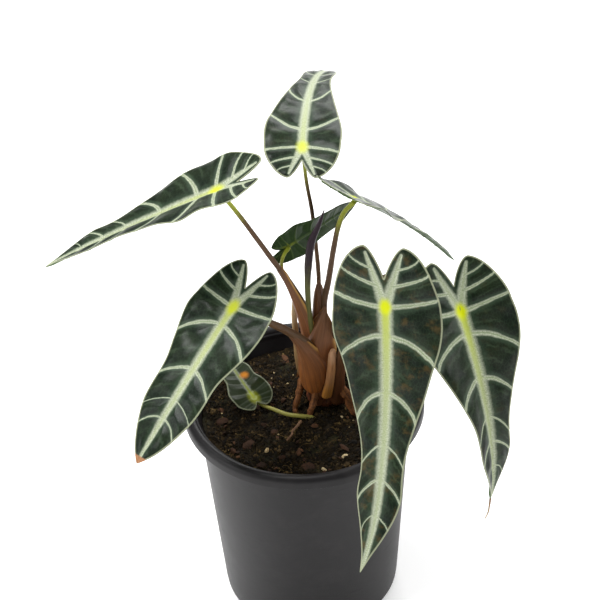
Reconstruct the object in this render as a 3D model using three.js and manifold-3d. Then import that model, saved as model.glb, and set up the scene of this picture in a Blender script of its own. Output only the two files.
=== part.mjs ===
// A young alocasia in a round nursery pot: arrow-shaped blades on long stalks that sheathe one
// another at the corm, a rolled new leaf, prop roots, and potting mix with bark and perlite.
// Millimetres, +Z up. The origin is the centre of the pot's underside, on the surface it stands on.
import * as THREE from "three";
import { mergeVertices } from "three/addons/utils/BufferGeometryUtils.js";
import { ConvexGeometry } from "three/addons/geometries/ConvexGeometry.js";
import Module from "manifold-3d";

const wasm = await Module();
wasm.setup();

// ---- Driving dimensions ----
const GAP = 0.3; // between two pieces that touch
const POT = {
  height: 132,
  rimRadius: 65,
  rimDepth: 7, // height of the rim's outer band
  neckRadius: 57.5, // outside of the wall just under the rim
  footRadius: 49,
  wall: 1.4,
  floor: 4,
  mouthFlare: 3, // how much wider the mouth is than the neck's inside
  channelDepth: 2.5, // the underside is raised this far where the drain holes are
  padRadius: 17, // flat middle of the underside, which stands on the surface
  footWidth: 7, // flat outer ring of the underside
  sides: 56,
};
const DRAIN = { count: 8, radius: 4.5 };
const SOIL = { belowRim: 12, bump: 0.9, rings: 7, sides: 40 };
const CROWN = { x: 11, y: 12, radius: 9, above: 15, below: 11 }; // the corm, in the mix
const BLADE = { thickness: 0.9, columns: 3, rows: 12, lobeRows: 5 };
const LOBE = { apex: 0.36, sinus: 0.48 }; // apex as a share of the half width, sinus of the lobe
const STALK = { sides: 9, steps: 15 };
const BARK = {
  count: 14,
  length: 9,
  width: 5,
  thickness: 3,
  innerRadius: 27,
  outerRadius: 48,
  firstTurn: 0.5,
};
const PERLITE = {
  size: 3.2,
  places: [
    [9, -46],
    [20, -37],
    [-21, -30],
    [-38, 18],
  ],
};

// Half the width of a blade, as a share of its widest, against the share of the way to its tip:
// a slender blade with a waist and a drip tip, and a broad one.
const SLENDER = [
  [0, 0.98],
  [0.07, 1],
  [0.14, 0.96],
  [0.23, 0.83],
  [0.31, 0.71],
  [0.42, 0.56],
  [0.53, 0.43],
  [0.62, 0.4],
  [0.7, 0.42],
  [0.76, 0.37],
  [0.84, 0.24],
  [0.92, 0.1],
  [0.97, 0.035],
  [1, 0],
];
const BROAD = [
  [0, 0.96],
  [0.1, 1],
  [0.2, 0.96],
  [0.3, 0.85],
  [0.42, 0.72],
  [0.58, 0.7],
  [0.68, 0.66],
  [0.78, 0.54],
  [0.86, 0.4],
  [0.93, 0.24],
  [0.98, 0.08],
  [1, 0],
];

// Each leaf, youngest and innermost first, so that each stalk's sheath closes round the ones before.
// Points are measured from the crown, on the mix. The knot is where the stalk joins the blade;
// the midrib runs from it to the tip, and two lobes run back from it. heading turns from +X towards
// +Y, pitch is above the level, and roll lowers the blade's right side; each is given at the knot
// and at the tip. lobePitch is the pitch at the ends of the lobes. fold raises both sides, and
// breadth mixes the slender outline with the broad one. The stalk's points run from the corm up
// to the blade, and its radii are those of its foot, the top of its sheath and its top.
const LEAVES = {
  top: {
    knot: [-5.5, 26, 147],
    heading: [86, 74],
    pitch: [12, -39],
    roll: [3, -2],
    lobePitch: 26,
    length: 124,
    halfWidth: 20,
    lobe: 19.5,
    fold: 1,
    breadth: 0.1,
    stalk: [[0, 3, 2], [0, 3, 30], [-1, 4, 58], [0, 10, 75], [-1, 18, 96], [-2, 22, 110], [-4, 25, 125]],
    radii: [3.4, 1.3, 0.9],
    sheath: 0.4,
  },
  upper_right: {
    knot: [20, -2, 133],
    heading: [40, 38],
    pitch: [-40, -54],
    roll: [0, 2],
    lobePitch: -47,
    length: 104,
    halfWidth: 19,
    lobe: 26,
    fold: 5,
    breadth: 0,
    stalk: [[4, 0, 2], [3, 0, 30], [2, 0, 64], [5, -1, 82], [8, -2, 102], [11, -2, 117], [14, -2, 125]],
    radii: [3.6, 1.5, 1.2],
    sheath: 0.4,
  },
  upper_left: {
    knot: [-49, -10, 148],
    heading: [173, 178],
    pitch: [-26, -29],
    roll: [-1, 7],
    lobePitch: -28,
    length: 104,
    halfWidth: 23,
    lobe: 26,
    fold: 13,
    breadth: 0,
    stalk: [[-4, 0, 2], [-4, 0, 25], [-5, 0, 44], [-10, -2, 70], [-26, -6, 105], [-43, -8, 138]],
    radii: [3.8, 1.7, 1.1],
    sheath: 0.34,
  },
  back: {
    knot: [-15, 6, 100],
    heading: [20, 32],
    pitch: [23, 12],
    roll: [-81, -75],
    lobePitch: 0,
    length: 43,
    halfWidth: 12.3,
    lobe: 10,
    fold: -4,
    breadth: 0.94,
    stalk: [[-6, 5, 2], [-7, 6, 26], [-9, 6, 50], [-14, 4, 72], [-19, 2.5, 87], [-18, 2, 96]],
    radii: [3, 1.3, 0.9],
    sheath: 0.3,
  },
  right: {
    knot: [71, -30, 80],
    heading: [295, 307],
    pitch: [-52, -96],
    roll: [18, -22],
    lobePitch: -72,
    length: 115,
    halfWidth: 27.5,
    lobe: 29,
    fold: 18,
    breadth: 0.02,
    stalk: [
      [3, -4, 2],
      [2, -5, 26],
      [7, -6, 53],
      [15, -8, 71],
      [38, -13, 92],
      [60, -20, 93],
      [69, -25, 84],
    ],
    radii: [5.4, 2.3, 1.3],
    sheath: 0.52,
  },
  front: {
    knot: [31, -56, 106],
    heading: [272, 238],
    pitch: [-73, -62],
    roll: [24, -2],
    lobePitch: -75,
    length: 144,
    halfWidth: 28.5,
    lobe: 31.5,
    fold: -3,
    breadth: 0,
    stalk: [[7, -5, 2], [8, -9, 23], [12, -14, 48], [18, -24, 74], [25, -38, 96], [30, -50, 107]],
    radii: [5.2, 2.3, 1.4],
    sheath: 0.4,
  },
  lower_left: {
    knot: [-44, -34, 93],
    heading: [230, 226],
    pitch: [-28, -39],
    roll: [-4, -4],
    lobePitch: -35,
    length: 92,
    halfWidth: 23,
    lobe: 24.5,
    fold: 1,
    breadth: 1,
    stalk: [[-3, -6, 2], [0, -7, 20], [-6, -9, 43], [-16, -14, 58], [-26, -20, 70], [-40, -30, 86]],
    radii: [6, 2.6, 1.4],
    sheath: 0.42,
  },
};

// ---- Helpers ----
const RAD = Math.PI / 180;
const V = (x, y, z) => new THREE.Vector3(x, y, z);
const mix = (a, b, t) => a + (b - a) * t;
const soilTop = POT.height - SOIL.belowRim;
const fromCrown = ([x, y, z]) => V(CROWN.x + x, CROWN.y + y, soilTop + z);

// A smooth curve through [x, y] stations. Each span is a cubic, and its slope at a station is that
// of the chord between the neighbours on each side.
function through(stations, x) {
  const last = stations.length - 1;
  const above = stations.findIndex((s) => s[0] > x);
  const i = above < 0 ? last - 1 : above - 1;
  const slope = (j) => {
    const a = stations[Math.max(0, j - 1)];
    const b = stations[Math.min(last, j + 1)];
    return (b[1] - a[1]) / (b[0] - a[0]);
  };
  const [x0, y0] = stations[i];
  const [x1, y1] = stations[i + 1];
  const h = x1 - x0;
  const t = (x - x0) / h;
  const rest = 1 - t;
  const ends = y0 * (1 + 2 * t) * rest * rest + y1 * t * t * (3 - 2 * t);
  return ends + slope(i) * h * t * rest * rest - slope(i + 1) * h * t * t * rest;
}

// A geometry with only positions, its coincident points merged and its empty triangles dropped.
function merged(geometry) {
  const bare = new THREE.BufferGeometry();
  bare.setAttribute("position", geometry.getAttribute("position"));
  if (geometry.index) bare.setIndex(geometry.index);
  const out = mergeVertices(bare, 1e-3);
  const index = out.index.array;
  const kept = [];
  for (let i = 0; i < index.length; i += 3) {
    const [a, b, c] = [index[i], index[i + 1], index[i + 2]];
    if (a !== b && b !== c && c !== a) kept.push(a, b, c);
  }
  out.setIndex(kept);
  return out;
}

function solid(geometry) {
  const g = merged(geometry);
  const vertProperties = new Float32Array(g.getAttribute("position").array);
  const triVerts = new Uint32Array(g.index.array);
  return new wasm.Manifold(new wasm.Mesh({ numProp: 3, vertProperties, triVerts }));
}

function geometryOf(manifold) {
  const mesh = manifold.getMesh();
  const geometry = new THREE.BufferGeometry();
  geometry.setAttribute("position", new THREE.BufferAttribute(mesh.vertProperties, 3));
  geometry.setIndex(new THREE.BufferAttribute(mesh.triVerts, 1));
  return merged(geometry);
}

// What is left of a solid once its neighbours are cut from it, without loose scraps.
function cutBy(manifold, neighbours) {
  const left = neighbours.reduce((body, n) => body.subtract(n), manifold);
  const bodies = left.decompose();
  return bodies.reduce((a, b) => (a.volume() > b.volume() ? a : b));
}

// A skin over rings of points, one ring after another, closed at each end by a fan.
function skin(rings) {
  const n = rings[0].length;
  const points = rings.flat();
  const faces = [];
  for (let r = 0; r < rings.length - 1; r++) {
    for (let k = 0; k < n; k++) {
      const a = r * n + k;
      const b = r * n + ((k + 1) % n);
      faces.push(a, b, b + n, a, b + n, a + n);
    }
  }
  for (const [ring, turn] of [[0, 1], [rings.length - 1, 0]]) {
    const middle = rings[ring].reduce((sum, p) => sum.add(p), V(0, 0, 0)).divideScalar(n);
    points.push(middle);
    for (let k = 0; k < n; k++) {
      const a = ring * n + k;
      const b = ring * n + ((k + 1) % n);
      faces.push(...(turn ? [b, a, points.length - 1] : [a, b, points.length - 1]));
    }
  }
  const geometry = new THREE.BufferGeometry().setFromPoints(points);
  geometry.setIndex(faces);
  return geometry;
}

// A round stem along a smooth curve through its points, radiusAt giving its radius along the way.
function stem(points, radiusAt, steps = STALK.steps, sides = STALK.sides) {
  const curve = new THREE.CatmullRomCurve3(points, false, "centripetal");
  const frames = curve.computeFrenetFrames(steps, false);
  const rings = [];
  for (let i = 0; i <= steps; i++) {
    const centre = curve.getPointAt(i / steps);
    const radius = radiusAt(i / steps);
    const ring = [];
    for (let k = 0; k < sides; k++) {
      const turn = (2 * Math.PI * k) / sides;
      const across = frames.normals[i].clone().multiplyScalar(radius * Math.cos(turn));
      const up = frames.binormals[i].clone().multiplyScalar(radius * Math.sin(turn));
      ring.push(centre.clone().add(across).add(up));
    }
    rings.push(ring);
  }
  return skin(rings);
}

// ---- Blades ----
// A blade's own frame part of the way (0 to 1) to the tip, or (0 to -1) to the ends of the lobes:
// a point on the midrib's line, the way along, the way to the right, and the way up from its face.
function bladeFrame(leaf, share) {
  const steps = 24;
  const along = share >= 0;
  const span = along ? leaf.length : -leaf.lobe;
  const direction = (s) => {
    const heading = RAD * (along ? mix(...leaf.heading, s) : leaf.heading[0]);
    const pitch = RAD * (along ? mix(...leaf.pitch, s) : mix(leaf.pitch[0], leaf.lobePitch, s));
    const level = Math.cos(pitch);
    return V(level * Math.cos(heading), level * Math.sin(heading), Math.sin(pitch));
  };
  const part = Math.abs(share);
  const centre = fromCrown(leaf.knot);
  for (let i = 0; i < steps; i++) {
    centre.addScaledVector(direction((part * (i + 0.5)) / steps), (span * part) / steps);
  }
  const heading = RAD * (along ? mix(...leaf.heading, part) : leaf.heading[0]);
  const roll = RAD * (along ? mix(...leaf.roll, part) : leaf.roll[0]);
  const forward = direction(part);
  const right = V(Math.sin(heading), -Math.cos(heading), 0).applyAxisAngle(forward, roll);
  const up = right.clone().cross(forward);
  return { centre, forward, right, up };
}

// The inner and outer edges of one half of a blade, across from the midrib's line.
function bladeEdges(leaf, share) {
  const margin = (s) => Math.max(0, mix(through(SLENDER, s), through(BROAD, s), leaf.breadth));
  if (share >= 0) return [0, leaf.halfWidth * margin(share)];
  const back = -share;
  const past = Math.max(0, (back - LOBE.sinus) / (1 - LOBE.sinus));
  const inner = LOBE.apex * (1 - (1 - past) ** 0.6);
  const outer = LOBE.apex + (margin(0) - LOBE.apex) * Math.max(0, 1 - back ** 1.7) ** 0.6;
  return [leaf.halfWidth * inner, leaf.halfWidth * outer];
}

// A leaf blade: each half is a ladder of rows from the lobe's end to the tip, the halves are one
// sheet except across the sinus, and the sheet is given its thickness.
function blade(leaf) {
  const shares = [];
  for (let i = 0; i < BLADE.lobeRows; i++) {
    shares.push(-Math.cos((i / BLADE.lobeRows) * (Math.PI / 2)));
  }
  for (let i = 0; i <= BLADE.rows; i++) shares.push(i / BLADE.rows);
  const points = [];
  const faces = [];
  for (const side of [1, -1]) {
    const first = points.length;
    for (const share of shares) {
      const { centre, right, up } = bladeFrame(leaf, share);
      const [inner, outer] = bladeEdges(leaf, share);
      for (let c = 0; c <= BLADE.columns; c++) {
        const across = mix(inner, outer, c / BLADE.columns);
        const point = centre.clone().addScaledVector(right, side * across * Math.cos(leaf.fold * RAD));
        points.push(point.addScaledVector(up, across * Math.sin(leaf.fold * RAD)));
      }
    }
    const n = BLADE.columns + 1;
    for (let r = 0; r < shares.length - 1; r++) {
      for (let c = 0; c < BLADE.columns; c++) {
        const a = first + r * n + c;
        const quad = [a, a + 1, a + 1 + n, a, a + 1 + n, a + n];
        faces.push(...(side > 0 ? quad : quad.reverse()));
      }
    }
  }
  const sheet = new THREE.BufferGeometry().setFromPoints(points);
  sheet.setIndex(faces);
  return thickened(merged(sheet), BLADE.thickness);
}

// A closed solid from a sheet: the sheet moved half its thickness each way, and a wall along every
// edge that only one triangle has.
function thickened(sheet, thickness) {
  sheet.computeVertexNormals();
  const at = sheet.getAttribute("position");
  const normal = sheet.getAttribute("normal");
  const top = [];
  const bottom = [];
  for (let i = 0; i < at.count; i++) {
    const point = new THREE.Vector3().fromBufferAttribute(at, i);
    const out = new THREE.Vector3().fromBufferAttribute(normal, i).multiplyScalar(thickness / 2);
    top.push(point.clone().add(out));
    bottom.push(point.clone().sub(out));
  }
  const index = sheet.index.array;
  const faces = [];
  const open = new Map();
  for (let i = 0; i < index.length; i += 3) {
    const tri = [index[i], index[i + 1], index[i + 2]];
    faces.push(...tri, ...tri.map((v) => v + at.count).reverse());
    tri.forEach((a, k) => {
      const b = tri[(k + 1) % 3];
      if (!open.delete(b + " " + a)) open.set(a + " " + b, [a, b]);
    });
  }
  for (const [a, b] of open.values()) {
    faces.push(a, a + at.count, b + at.count, a, b + at.count, b);
  }
  const geometry = new THREE.BufferGeometry().setFromPoints([...top, ...bottom]);
  geometry.setIndex(faces);
  return geometry;
}

// ---- Stalks ----
// A leaf stalk, from the corm to just under the blade's knot; grown is added to its radius.
function stalk(leaf, grown = 0) {
  const { centre, up } = bladeFrame(leaf, 0);
  const [foot, collar, top] = leaf.radii;
  const clear = BLADE.thickness / 2 + GAP + top;
  const points = [...leaf.stalk.map(fromCrown), centre.addScaledVector(up, -clear)];
  const radiusAt = (t) => {
    const above = (t - leaf.sheath) / (1 - leaf.sheath);
    const below = Math.min(1, t / leaf.sheath);
    const sheathed = mix(foot, collar, below * below * (3 - 2 * below));
    return grown + (above > 0 ? mix(collar, top, above) : sheathed);
  };
  return stem(points, radiusAt);
}

// ---- Rolled new leaf, old stalk, corm, roots ----
const NEW_LEAF = {
  path: [
    [-3, -3, 2],
    [-4, -4, 30],
    [-6, -4, 64],
    [-6, -4, 84],
    [-5, -3, 97],
    [-3, -3, 109],
    [1, -3, 119],
    [4, -3, 128],
  ],
  radii: [[0, 2.4], [0.5, 1.5], [0.62, 1.5], [0.78, 2.3], [0.88, 2.1], [0.96, 1.1], [1, 0.3]],
};
const OLD_STALK = {
  path: [[-8, 8, 1], [-12, 8, 16], [-14, 8, 33], [-15, 9, 52]],
  radii: [[0, 2.4], [0.4, 1.5], [0.9, 1], [1, 0.4]],
};
const SEEDLING = {
  knot: [-38, -6, 7.5],
  heading: [123, 108],
  pitch: [18, -8],
  roll: [3, -7],
  lobePitch: 20,
  length: 34,
  halfWidth: 12,
  lobe: 7,
  fold: 4,
  breadth: 1,
  stalk: [[-3, -17, -4], [-7, -17, 0.6], [-13, -17, 2.2], [-20, -15.5, 2.6], [-28, -11, 3], [-34, -8, 3.8]],
  radii: [1.4, 1.2, 0.9],
  sheath: 0.2,
};
const ROOTS = {
  left: { path: [[-5, 1, 15], [-12, -2, 12], [-15, -9, 5], [-16, -13, -4]], radii: [2.4, 1.2] },
  front: { path: [[-2, -5, 12], [-6, -11, 7], [-9, -16, 2], [-10, -19, -4]], radii: [2.2, 1.2] },
  right: { path: [[5, -4, 15], [11, -8, 11], [15, -12, 4], [18, -16, -4]], radii: [3.2, 1.6] },
  far: { path: [[5, 5, 13], [11, 11, 9], [14, 16, 2], [15, 19, -4]], radii: [2.4, 1.3] },
  behind: { path: [[-5, 6, 12], [-9, 13, 8], [-12, 18, 2], [-13, 21, -4]], radii: [2.2, 1.2] },
};
const SURFACE_ROOT = [[-13, -20, 1.2], [-16, -25, 2], [-18, -30, 1.5], [-20, -35, 1.8]];

// A stem whose radius follows [share, radius] stations.
function shoot({ path, radii }, grown = 0) {
  return stem(path.map(fromCrown), (t) => grown + Math.max(0.1, through(radii, t)));
}

function root({ path, radii }, grown = 0) {
  return stem(path.map(fromCrown), (t) => grown + mix(...radii, t), 8, 7);
}

// The corm: a blunt bulb, widest a third of the way up, partly under the mix.
function corm(grown = 0) {
  const height = CROWN.above + CROWN.below;
  const profile = [];
  const points = 9;
  for (let i = 0; i <= points; i++) {
    const turn = Math.PI * (i / points);
    const z = -CROWN.below + (height * (1 - Math.cos(turn))) / 2;
    profile.push(new THREE.Vector2(CROWN.radius * Math.sin(turn) ** 0.8, z));
  }
  profile[0].x = 0;
  profile[points].x = 0;
  for (const p of profile) p.x += p.x > 0 ? grown : 0;
  profile[0].y -= grown;
  profile[points].y += grown;
  return new THREE.LatheGeometry(profile, 14).rotateX(Math.PI / 2).translate(CROWN.x, CROWN.y, soilTop);
}

// ---- Pot ----
// The outside of the wall at a height, and the inside.
const wallOuter = (z) => mix(POT.footRadius, POT.neckRadius, z / (POT.height - POT.rimDepth));
const wallInner = (z) => wallOuter(z) - POT.wall;

// The pot: a tapered wall with a rolled-over rim, on a foot ring and a flat middle pad, with a
// raised ring of floor between them that the drain holes go through.
function pot() {
  const neck = POT.height - POT.rimDepth;
  const mouth = wallInner(neck) + POT.mouthFlare;
  const lip = POT.rimRadius - mouth;
  const ringInner = POT.footRadius - POT.footWidth;
  const edge = 1.5;
  const shelf = POT.wall + 1;
  const profile = [
    [0, 0],
    [POT.padRadius, 0],
    [POT.padRadius + edge, POT.channelDepth],
    [ringInner - edge, POT.channelDepth],
    [ringInner, 0],
    [POT.footRadius - 2 * edge, 0],
    [POT.footRadius - edge / 3, edge],
    [wallOuter(3 * edge), 3 * edge],
    [POT.neckRadius, neck],
    [POT.neckRadius + edge / 3, POT.height - shelf],
    [POT.rimRadius - POT.wall, POT.height - shelf],
    [POT.rimRadius - POT.wall, neck],
    [POT.rimRadius, neck],
    [POT.rimRadius, POT.height - shelf],
    [POT.rimRadius - lip * 0.12, POT.height - lip * 0.12],
    [POT.rimRadius - lip * 0.4, POT.height],
    [mouth + lip * 0.3, POT.height],
    [mouth, POT.height - lip * 0.25],
    [wallInner(neck), neck - edge],
    [wallInner(POT.floor + edge), POT.floor + edge],
    [wallInner(POT.floor) - edge, POT.floor],
    [0, POT.floor],
  ];
  const points = profile.map(([r, z]) => new THREE.Vector2(r, z));
  const body = solid(new THREE.LatheGeometry(points, POT.sides).rotateX(Math.PI / 2));
  const circle = (POT.padRadius + POT.footRadius - POT.footWidth) / 2;
  const drains = [];
  for (let i = 0; i < DRAIN.count; i++) {
    const turn = (2 * Math.PI * (i + 0.5)) / DRAIN.count;
    const hole = new THREE.CylinderGeometry(DRAIN.radius, DRAIN.radius, 4 * POT.floor, 12);
    hole.rotateX(Math.PI / 2).translate(circle * Math.cos(turn), circle * Math.sin(turn), 0);
    drains.push(solid(hole));
  }
  return cutBy(body, drains);
}

// ---- Potting mix ----
// Low swells over the top of the mix: two waves that cross.
const swell = (x, y) => SOIL.bump * (Math.sin(x / 7 + 1) * Math.cos(y / 9) + 0.4 * Math.sin((x + y) / 4));

function pottingMix() {
  const floor = POT.floor + GAP;
  const foot = wallInner(floor) - 3 * GAP - 1.5;
  const brim = wallInner(soilTop) - GAP;
  const profile = [new THREE.Vector2(0, floor), new THREE.Vector2(foot, floor)];
  profile.push(new THREE.Vector2(wallInner(floor + 4) - GAP - 0.2, floor + 4));
  for (let i = 0; i <= SOIL.rings; i++) {
    profile.push(new THREE.Vector2(brim * (1 - i / SOIL.rings), soilTop));
  }
  const geometry = new THREE.LatheGeometry(profile, SOIL.sides).rotateX(Math.PI / 2);
  const at = geometry.getAttribute("position");
  for (let i = 0; i < at.count; i++) {
    const inTop = at.getZ(i) > soilTop - GAP && Math.hypot(at.getX(i), at.getY(i)) < brim - GAP;
    if (inTop) at.setZ(i, soilTop + swell(at.getX(i), at.getY(i)));
  }
  return geometry;
}

// The same numbers every time, between 0 and 1.
let state = 7;
function random() {
  state = (state * 16807) % 2147483647;
  return state / 2147483647;
}

// A broken lump: the hull of points on a squashed ball, each moved in or out a little.
function lump(length, width, thickness, corners) {
  const points = [];
  for (let i = 0; i < corners; i++) {
    const z = 1 - (2 * (i + 0.5)) / corners;
    const turn = i * Math.PI * (3 - Math.sqrt(5));
    const flat = Math.sqrt(1 - z * z);
    const reach = 0.5 * mix(0.8, 1.1, random());
    const p = V(flat * Math.cos(turn) * length, flat * Math.sin(turn) * width, z * thickness);
    points.push(p.multiplyScalar(reach));
  }
  return new ConvexGeometry(points);
}

// Where the nth piece of bark lies: round the mix by the golden angle, clear of the crown.
function barkPlace(i) {
  const turn = BARK.firstTurn + i * Math.PI * (3 - Math.sqrt(5));
  const r = mix(BARK.innerRadius, BARK.outerRadius, Math.sqrt((i + 0.5) / BARK.count));
  return [r * Math.cos(turn), r * Math.sin(turn)];
}

// ---- Assembly ----
const COLOURS = {
  pot: ["#29292d", 0.42],
  mix: ["#33241a", 0.95],
  corm: ["#6b4430", 0.7],
  root: ["#86553a", 0.65],
  leaf: ["#22382a", 0.35],
  stalk: ["#755241", 0.5],
  newLeaf: ["#3a2433", 0.4],
  oldStalk: ["#a39a6c", 0.6],
  palePetiole: ["#a8a04a", 0.5],
  bark: ["#6e4430", 0.85],
  perlite: ["#d8cdb4", 0.9],
};
const plant = new THREE.Group();

function add(name, shape, [color, roughness]) {
  const geometry = shape.isBufferGeometry ? merged(shape) : geometryOf(shape);
  geometry.computeVertexNormals();
  const material = new THREE.MeshStandardMaterial({ color, roughness, metalness: 0 });
  const mesh = new THREE.Mesh(geometry, material);
  mesh.name = name;
  plant.add(mesh);
}

// Each growing piece closes round the ones before it, GAP away.
const grown = [solid(corm(GAP))];
add("corm", corm(), COLOURS.corm);

function grow(name, make, colour) {
  add(name, cutBy(solid(make(0)), grown), colour);
  grown.push(solid(make(GAP)));
}

grow("new_leaf", (more) => shoot(NEW_LEAF, more), COLOURS.newLeaf);
for (const [place, leaf] of Object.entries(LEAVES)) {
  grow("stalk_" + place, (more) => stalk(leaf, more), COLOURS.stalk);
}
grow("old_stalk", (more) => shoot(OLD_STALK, more), COLOURS.oldStalk);
for (const [place, line] of Object.entries(ROOTS)) {
  grow("root_" + place, (more) => root(line, more), COLOURS.root);
}
grow("stalk_seedling", (more) => stalk(SEEDLING, more), COLOURS.palePetiole);
for (const [place, leaf] of Object.entries({ ...LEAVES, seedling: SEEDLING })) {
  add("blade_" + place, blade(leaf), COLOURS.leaf);
}
const surfaceRoot = (more) => root({ path: SURFACE_ROOT, radii: [1.1, 0.7] }, more);
grow("root_surface", surfaceRoot, COLOURS.perlite);

// Bark and perlite are bedded in the mix: each is cut from it with a gap all round.
function bed(name, [length, width, thickness], [x, y], colour) {
  const scale = mix(0.7, 1.15, random());
  const piece = lump(length * scale, width * scale, thickness * scale, 12);
  piece.rotateY(mix(-0.4, 0.4, random())).rotateZ(Math.PI * random());
  const seat = soilTop + swell(x, y) + thickness * 0.15;
  const looser = 1 + GAP / (thickness * scale * 0.4);
  grown.push(solid(piece.clone().scale(looser, looser, looser).translate(x, y, seat)));
  add(name, piece.translate(x, y, seat), colour);
}

for (let i = 0; i < BARK.count; i++) {
  bed("bark_" + (i + 1), [BARK.length, BARK.width, BARK.thickness], barkPlace(i), COLOURS.bark);
}
PERLITE.places.forEach((place, i) => {
  bed("perlite_" + (i + 1), Array(3).fill(PERLITE.size), place, COLOURS.perlite);
});
add("potting_mix", cutBy(solid(pottingMix()), grown), COLOURS.mix);
add("nursery_pot", pot(), COLOURS.pot);

export default plant;
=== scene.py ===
"""A young alocasia in a nursery pot: glossy arrow-shaped blades with feathered pale veins, on
streaked stalks that sheathe one another at the corm, over crumbly mix. Metres, +Z up; the growth
tables are in millimetres from the crown, the point where the corm stands on the mix."""
import math
from dataclasses import dataclass

import bmesh
import bpy
import numpy as np
from mathutils import Matrix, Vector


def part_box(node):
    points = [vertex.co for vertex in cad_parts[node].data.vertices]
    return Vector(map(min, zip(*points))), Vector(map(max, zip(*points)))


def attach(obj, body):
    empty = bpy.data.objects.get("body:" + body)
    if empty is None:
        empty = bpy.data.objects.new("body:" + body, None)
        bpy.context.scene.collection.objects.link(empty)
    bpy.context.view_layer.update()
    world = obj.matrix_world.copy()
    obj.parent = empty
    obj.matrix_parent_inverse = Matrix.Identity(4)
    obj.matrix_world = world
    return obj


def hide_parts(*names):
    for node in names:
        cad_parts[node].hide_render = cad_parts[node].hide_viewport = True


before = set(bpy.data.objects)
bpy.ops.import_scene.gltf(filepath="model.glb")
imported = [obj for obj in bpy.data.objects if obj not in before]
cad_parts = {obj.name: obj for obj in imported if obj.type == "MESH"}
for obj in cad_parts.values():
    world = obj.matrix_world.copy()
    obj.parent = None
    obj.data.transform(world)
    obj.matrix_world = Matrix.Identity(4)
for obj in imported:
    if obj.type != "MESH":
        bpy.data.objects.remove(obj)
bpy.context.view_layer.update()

MM = 0.001
RNG = np.random.default_rng(11)

# ---- Where the pieces are ----
corm_low, corm_high = (np.array(c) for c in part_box("corm"))
_, pot_high = (np.array(c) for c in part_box("nursery_pot"))
mix_low, mix_high = (np.array(c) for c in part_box("potting_mix"))
CORM_ABOVE = 15  # how far the corm stands out of the mix, mm
CROWN = np.array([*(corm_low + corm_high)[:2] / 2, corm_high[2] - CORM_ABOVE * MM])

# ---- Growth tables ----
SLENDER = np.array([
    [0, 0.98], [0.07, 1], [0.14, 0.96], [0.23, 0.83], [0.31, 0.71], [0.42, 0.56], [0.53, 0.43],
    [0.62, 0.4], [0.7, 0.42], [0.76, 0.37], [0.84, 0.24], [0.92, 0.1], [0.97, 0.035], [1, 0],
])
BROAD = np.array([
    [0, 0.96], [0.1, 1], [0.2, 0.96], [0.3, 0.85], [0.42, 0.72], [0.58, 0.7], [0.68, 0.66],
    [0.78, 0.54], [0.86, 0.4], [0.93, 0.24], [0.98, 0.08], [1, 0],
])
APEX = 0.36  # the lobe's end, as a share of the half width
SINUS = 0.48  # where the notch between the lobes ends, as a share of the lobe
BLADE_THICK = 0.6  # mm
FULL_HALF_WIDTH = 28  # of a full-grown leaf; a smaller one has its veins and relief in proportion
PUFF = 1.15  # how far the blade stands up between its veins
GROOVE = 0.32  # how deep a vein lies in the face
LEAVES_APART = 3.7  # so that no two leaves share a stretch of the same pattern
# Between the midrib and a lobe's rib there are no laterals: the nearest one counts as this far
AFAR, AFAR_MM = 9.0, 6.0  # in half widths of a vein, in the material; in mm, in the relief

# Veins of one half of a blade. A lateral leaves the midrib at the first share of the way to the
# tip and meets the margin at the second; then its half width in mm at each end.
LATERALS = (
    (0.0, -0.035, 1.45, 0.85),
    (0.105, 0.205, 1.7, 0.75),
    (0.315, 0.42, 1.5, 0.65),
    (0.51, 0.595, 0.7, 0.3),
    (0.64, 0.725, 1.1, 0.4),
    (0.775, 0.84, 0.5, 0.2),
    (1.06, 1.12, 0.1, 0.1),
)
WIDE_APART = (
    (0.0, -0.035, 1.4, 0.8),
    (0.12, 0.24, 1.6, 0.8),
    (0.41, 0.53, 1.4, 0.6),
    (0.60, 0.69, 0.4, 0.2),
    (0.72, 0.81, 0.9, 0.35),
    (1.06, 1.12, 0.1, 0.1),
)
# Branches of the rib into a lobe, as shares of the lobe, and their half widths.
LOBE_BRANCHES = [(0.40, 0.60, 1.1, 0.5), (0.72, 0.84, 0.7, 0.3), (1.25, 1.3, 0.1, 0.1)]
MIDRIB = np.array([[0, 3.3], [0.25, 3.0], [0.5, 2.7], [0.75, 2.1], [0.95, 1.1], [1, 0.6]])
LOBE_RIB = (2.9, 0.8)


@dataclass
class Leaf:
    """One leaf of the growth table. Angles are in degrees, at the knot and then at the tip; sizes
    and places are in mm."""

    knot: tuple  # where the stalk meets the blade
    heading: tuple
    pitch: tuple
    roll: tuple
    lobe_pitch: float
    length: float  # knot to tip
    half_width: float
    lobe: float  # knot to the lobes' ends
    fold: float
    breadth: float  # the outline: 0 slender, 1 broad
    stalk: list
    radii: tuple  # of the stalk: foot, collar where the sheath ends, top
    sheath: float  # the collar's share of the way up
    freckle: float = 0.0
    dry: float = 0.0
    ruffle: float = 0.8
    bend: float = 0.0  # how far the tip swings to the side
    plain: float = 0.0  # how faint the veins are
    yellow: float = 1.0  # how yellow the midrib is near the knot
    laterals: tuple = LATERALS

    @property
    def size(self):
        return self.half_width / FULL_HALF_WIDTH


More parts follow.
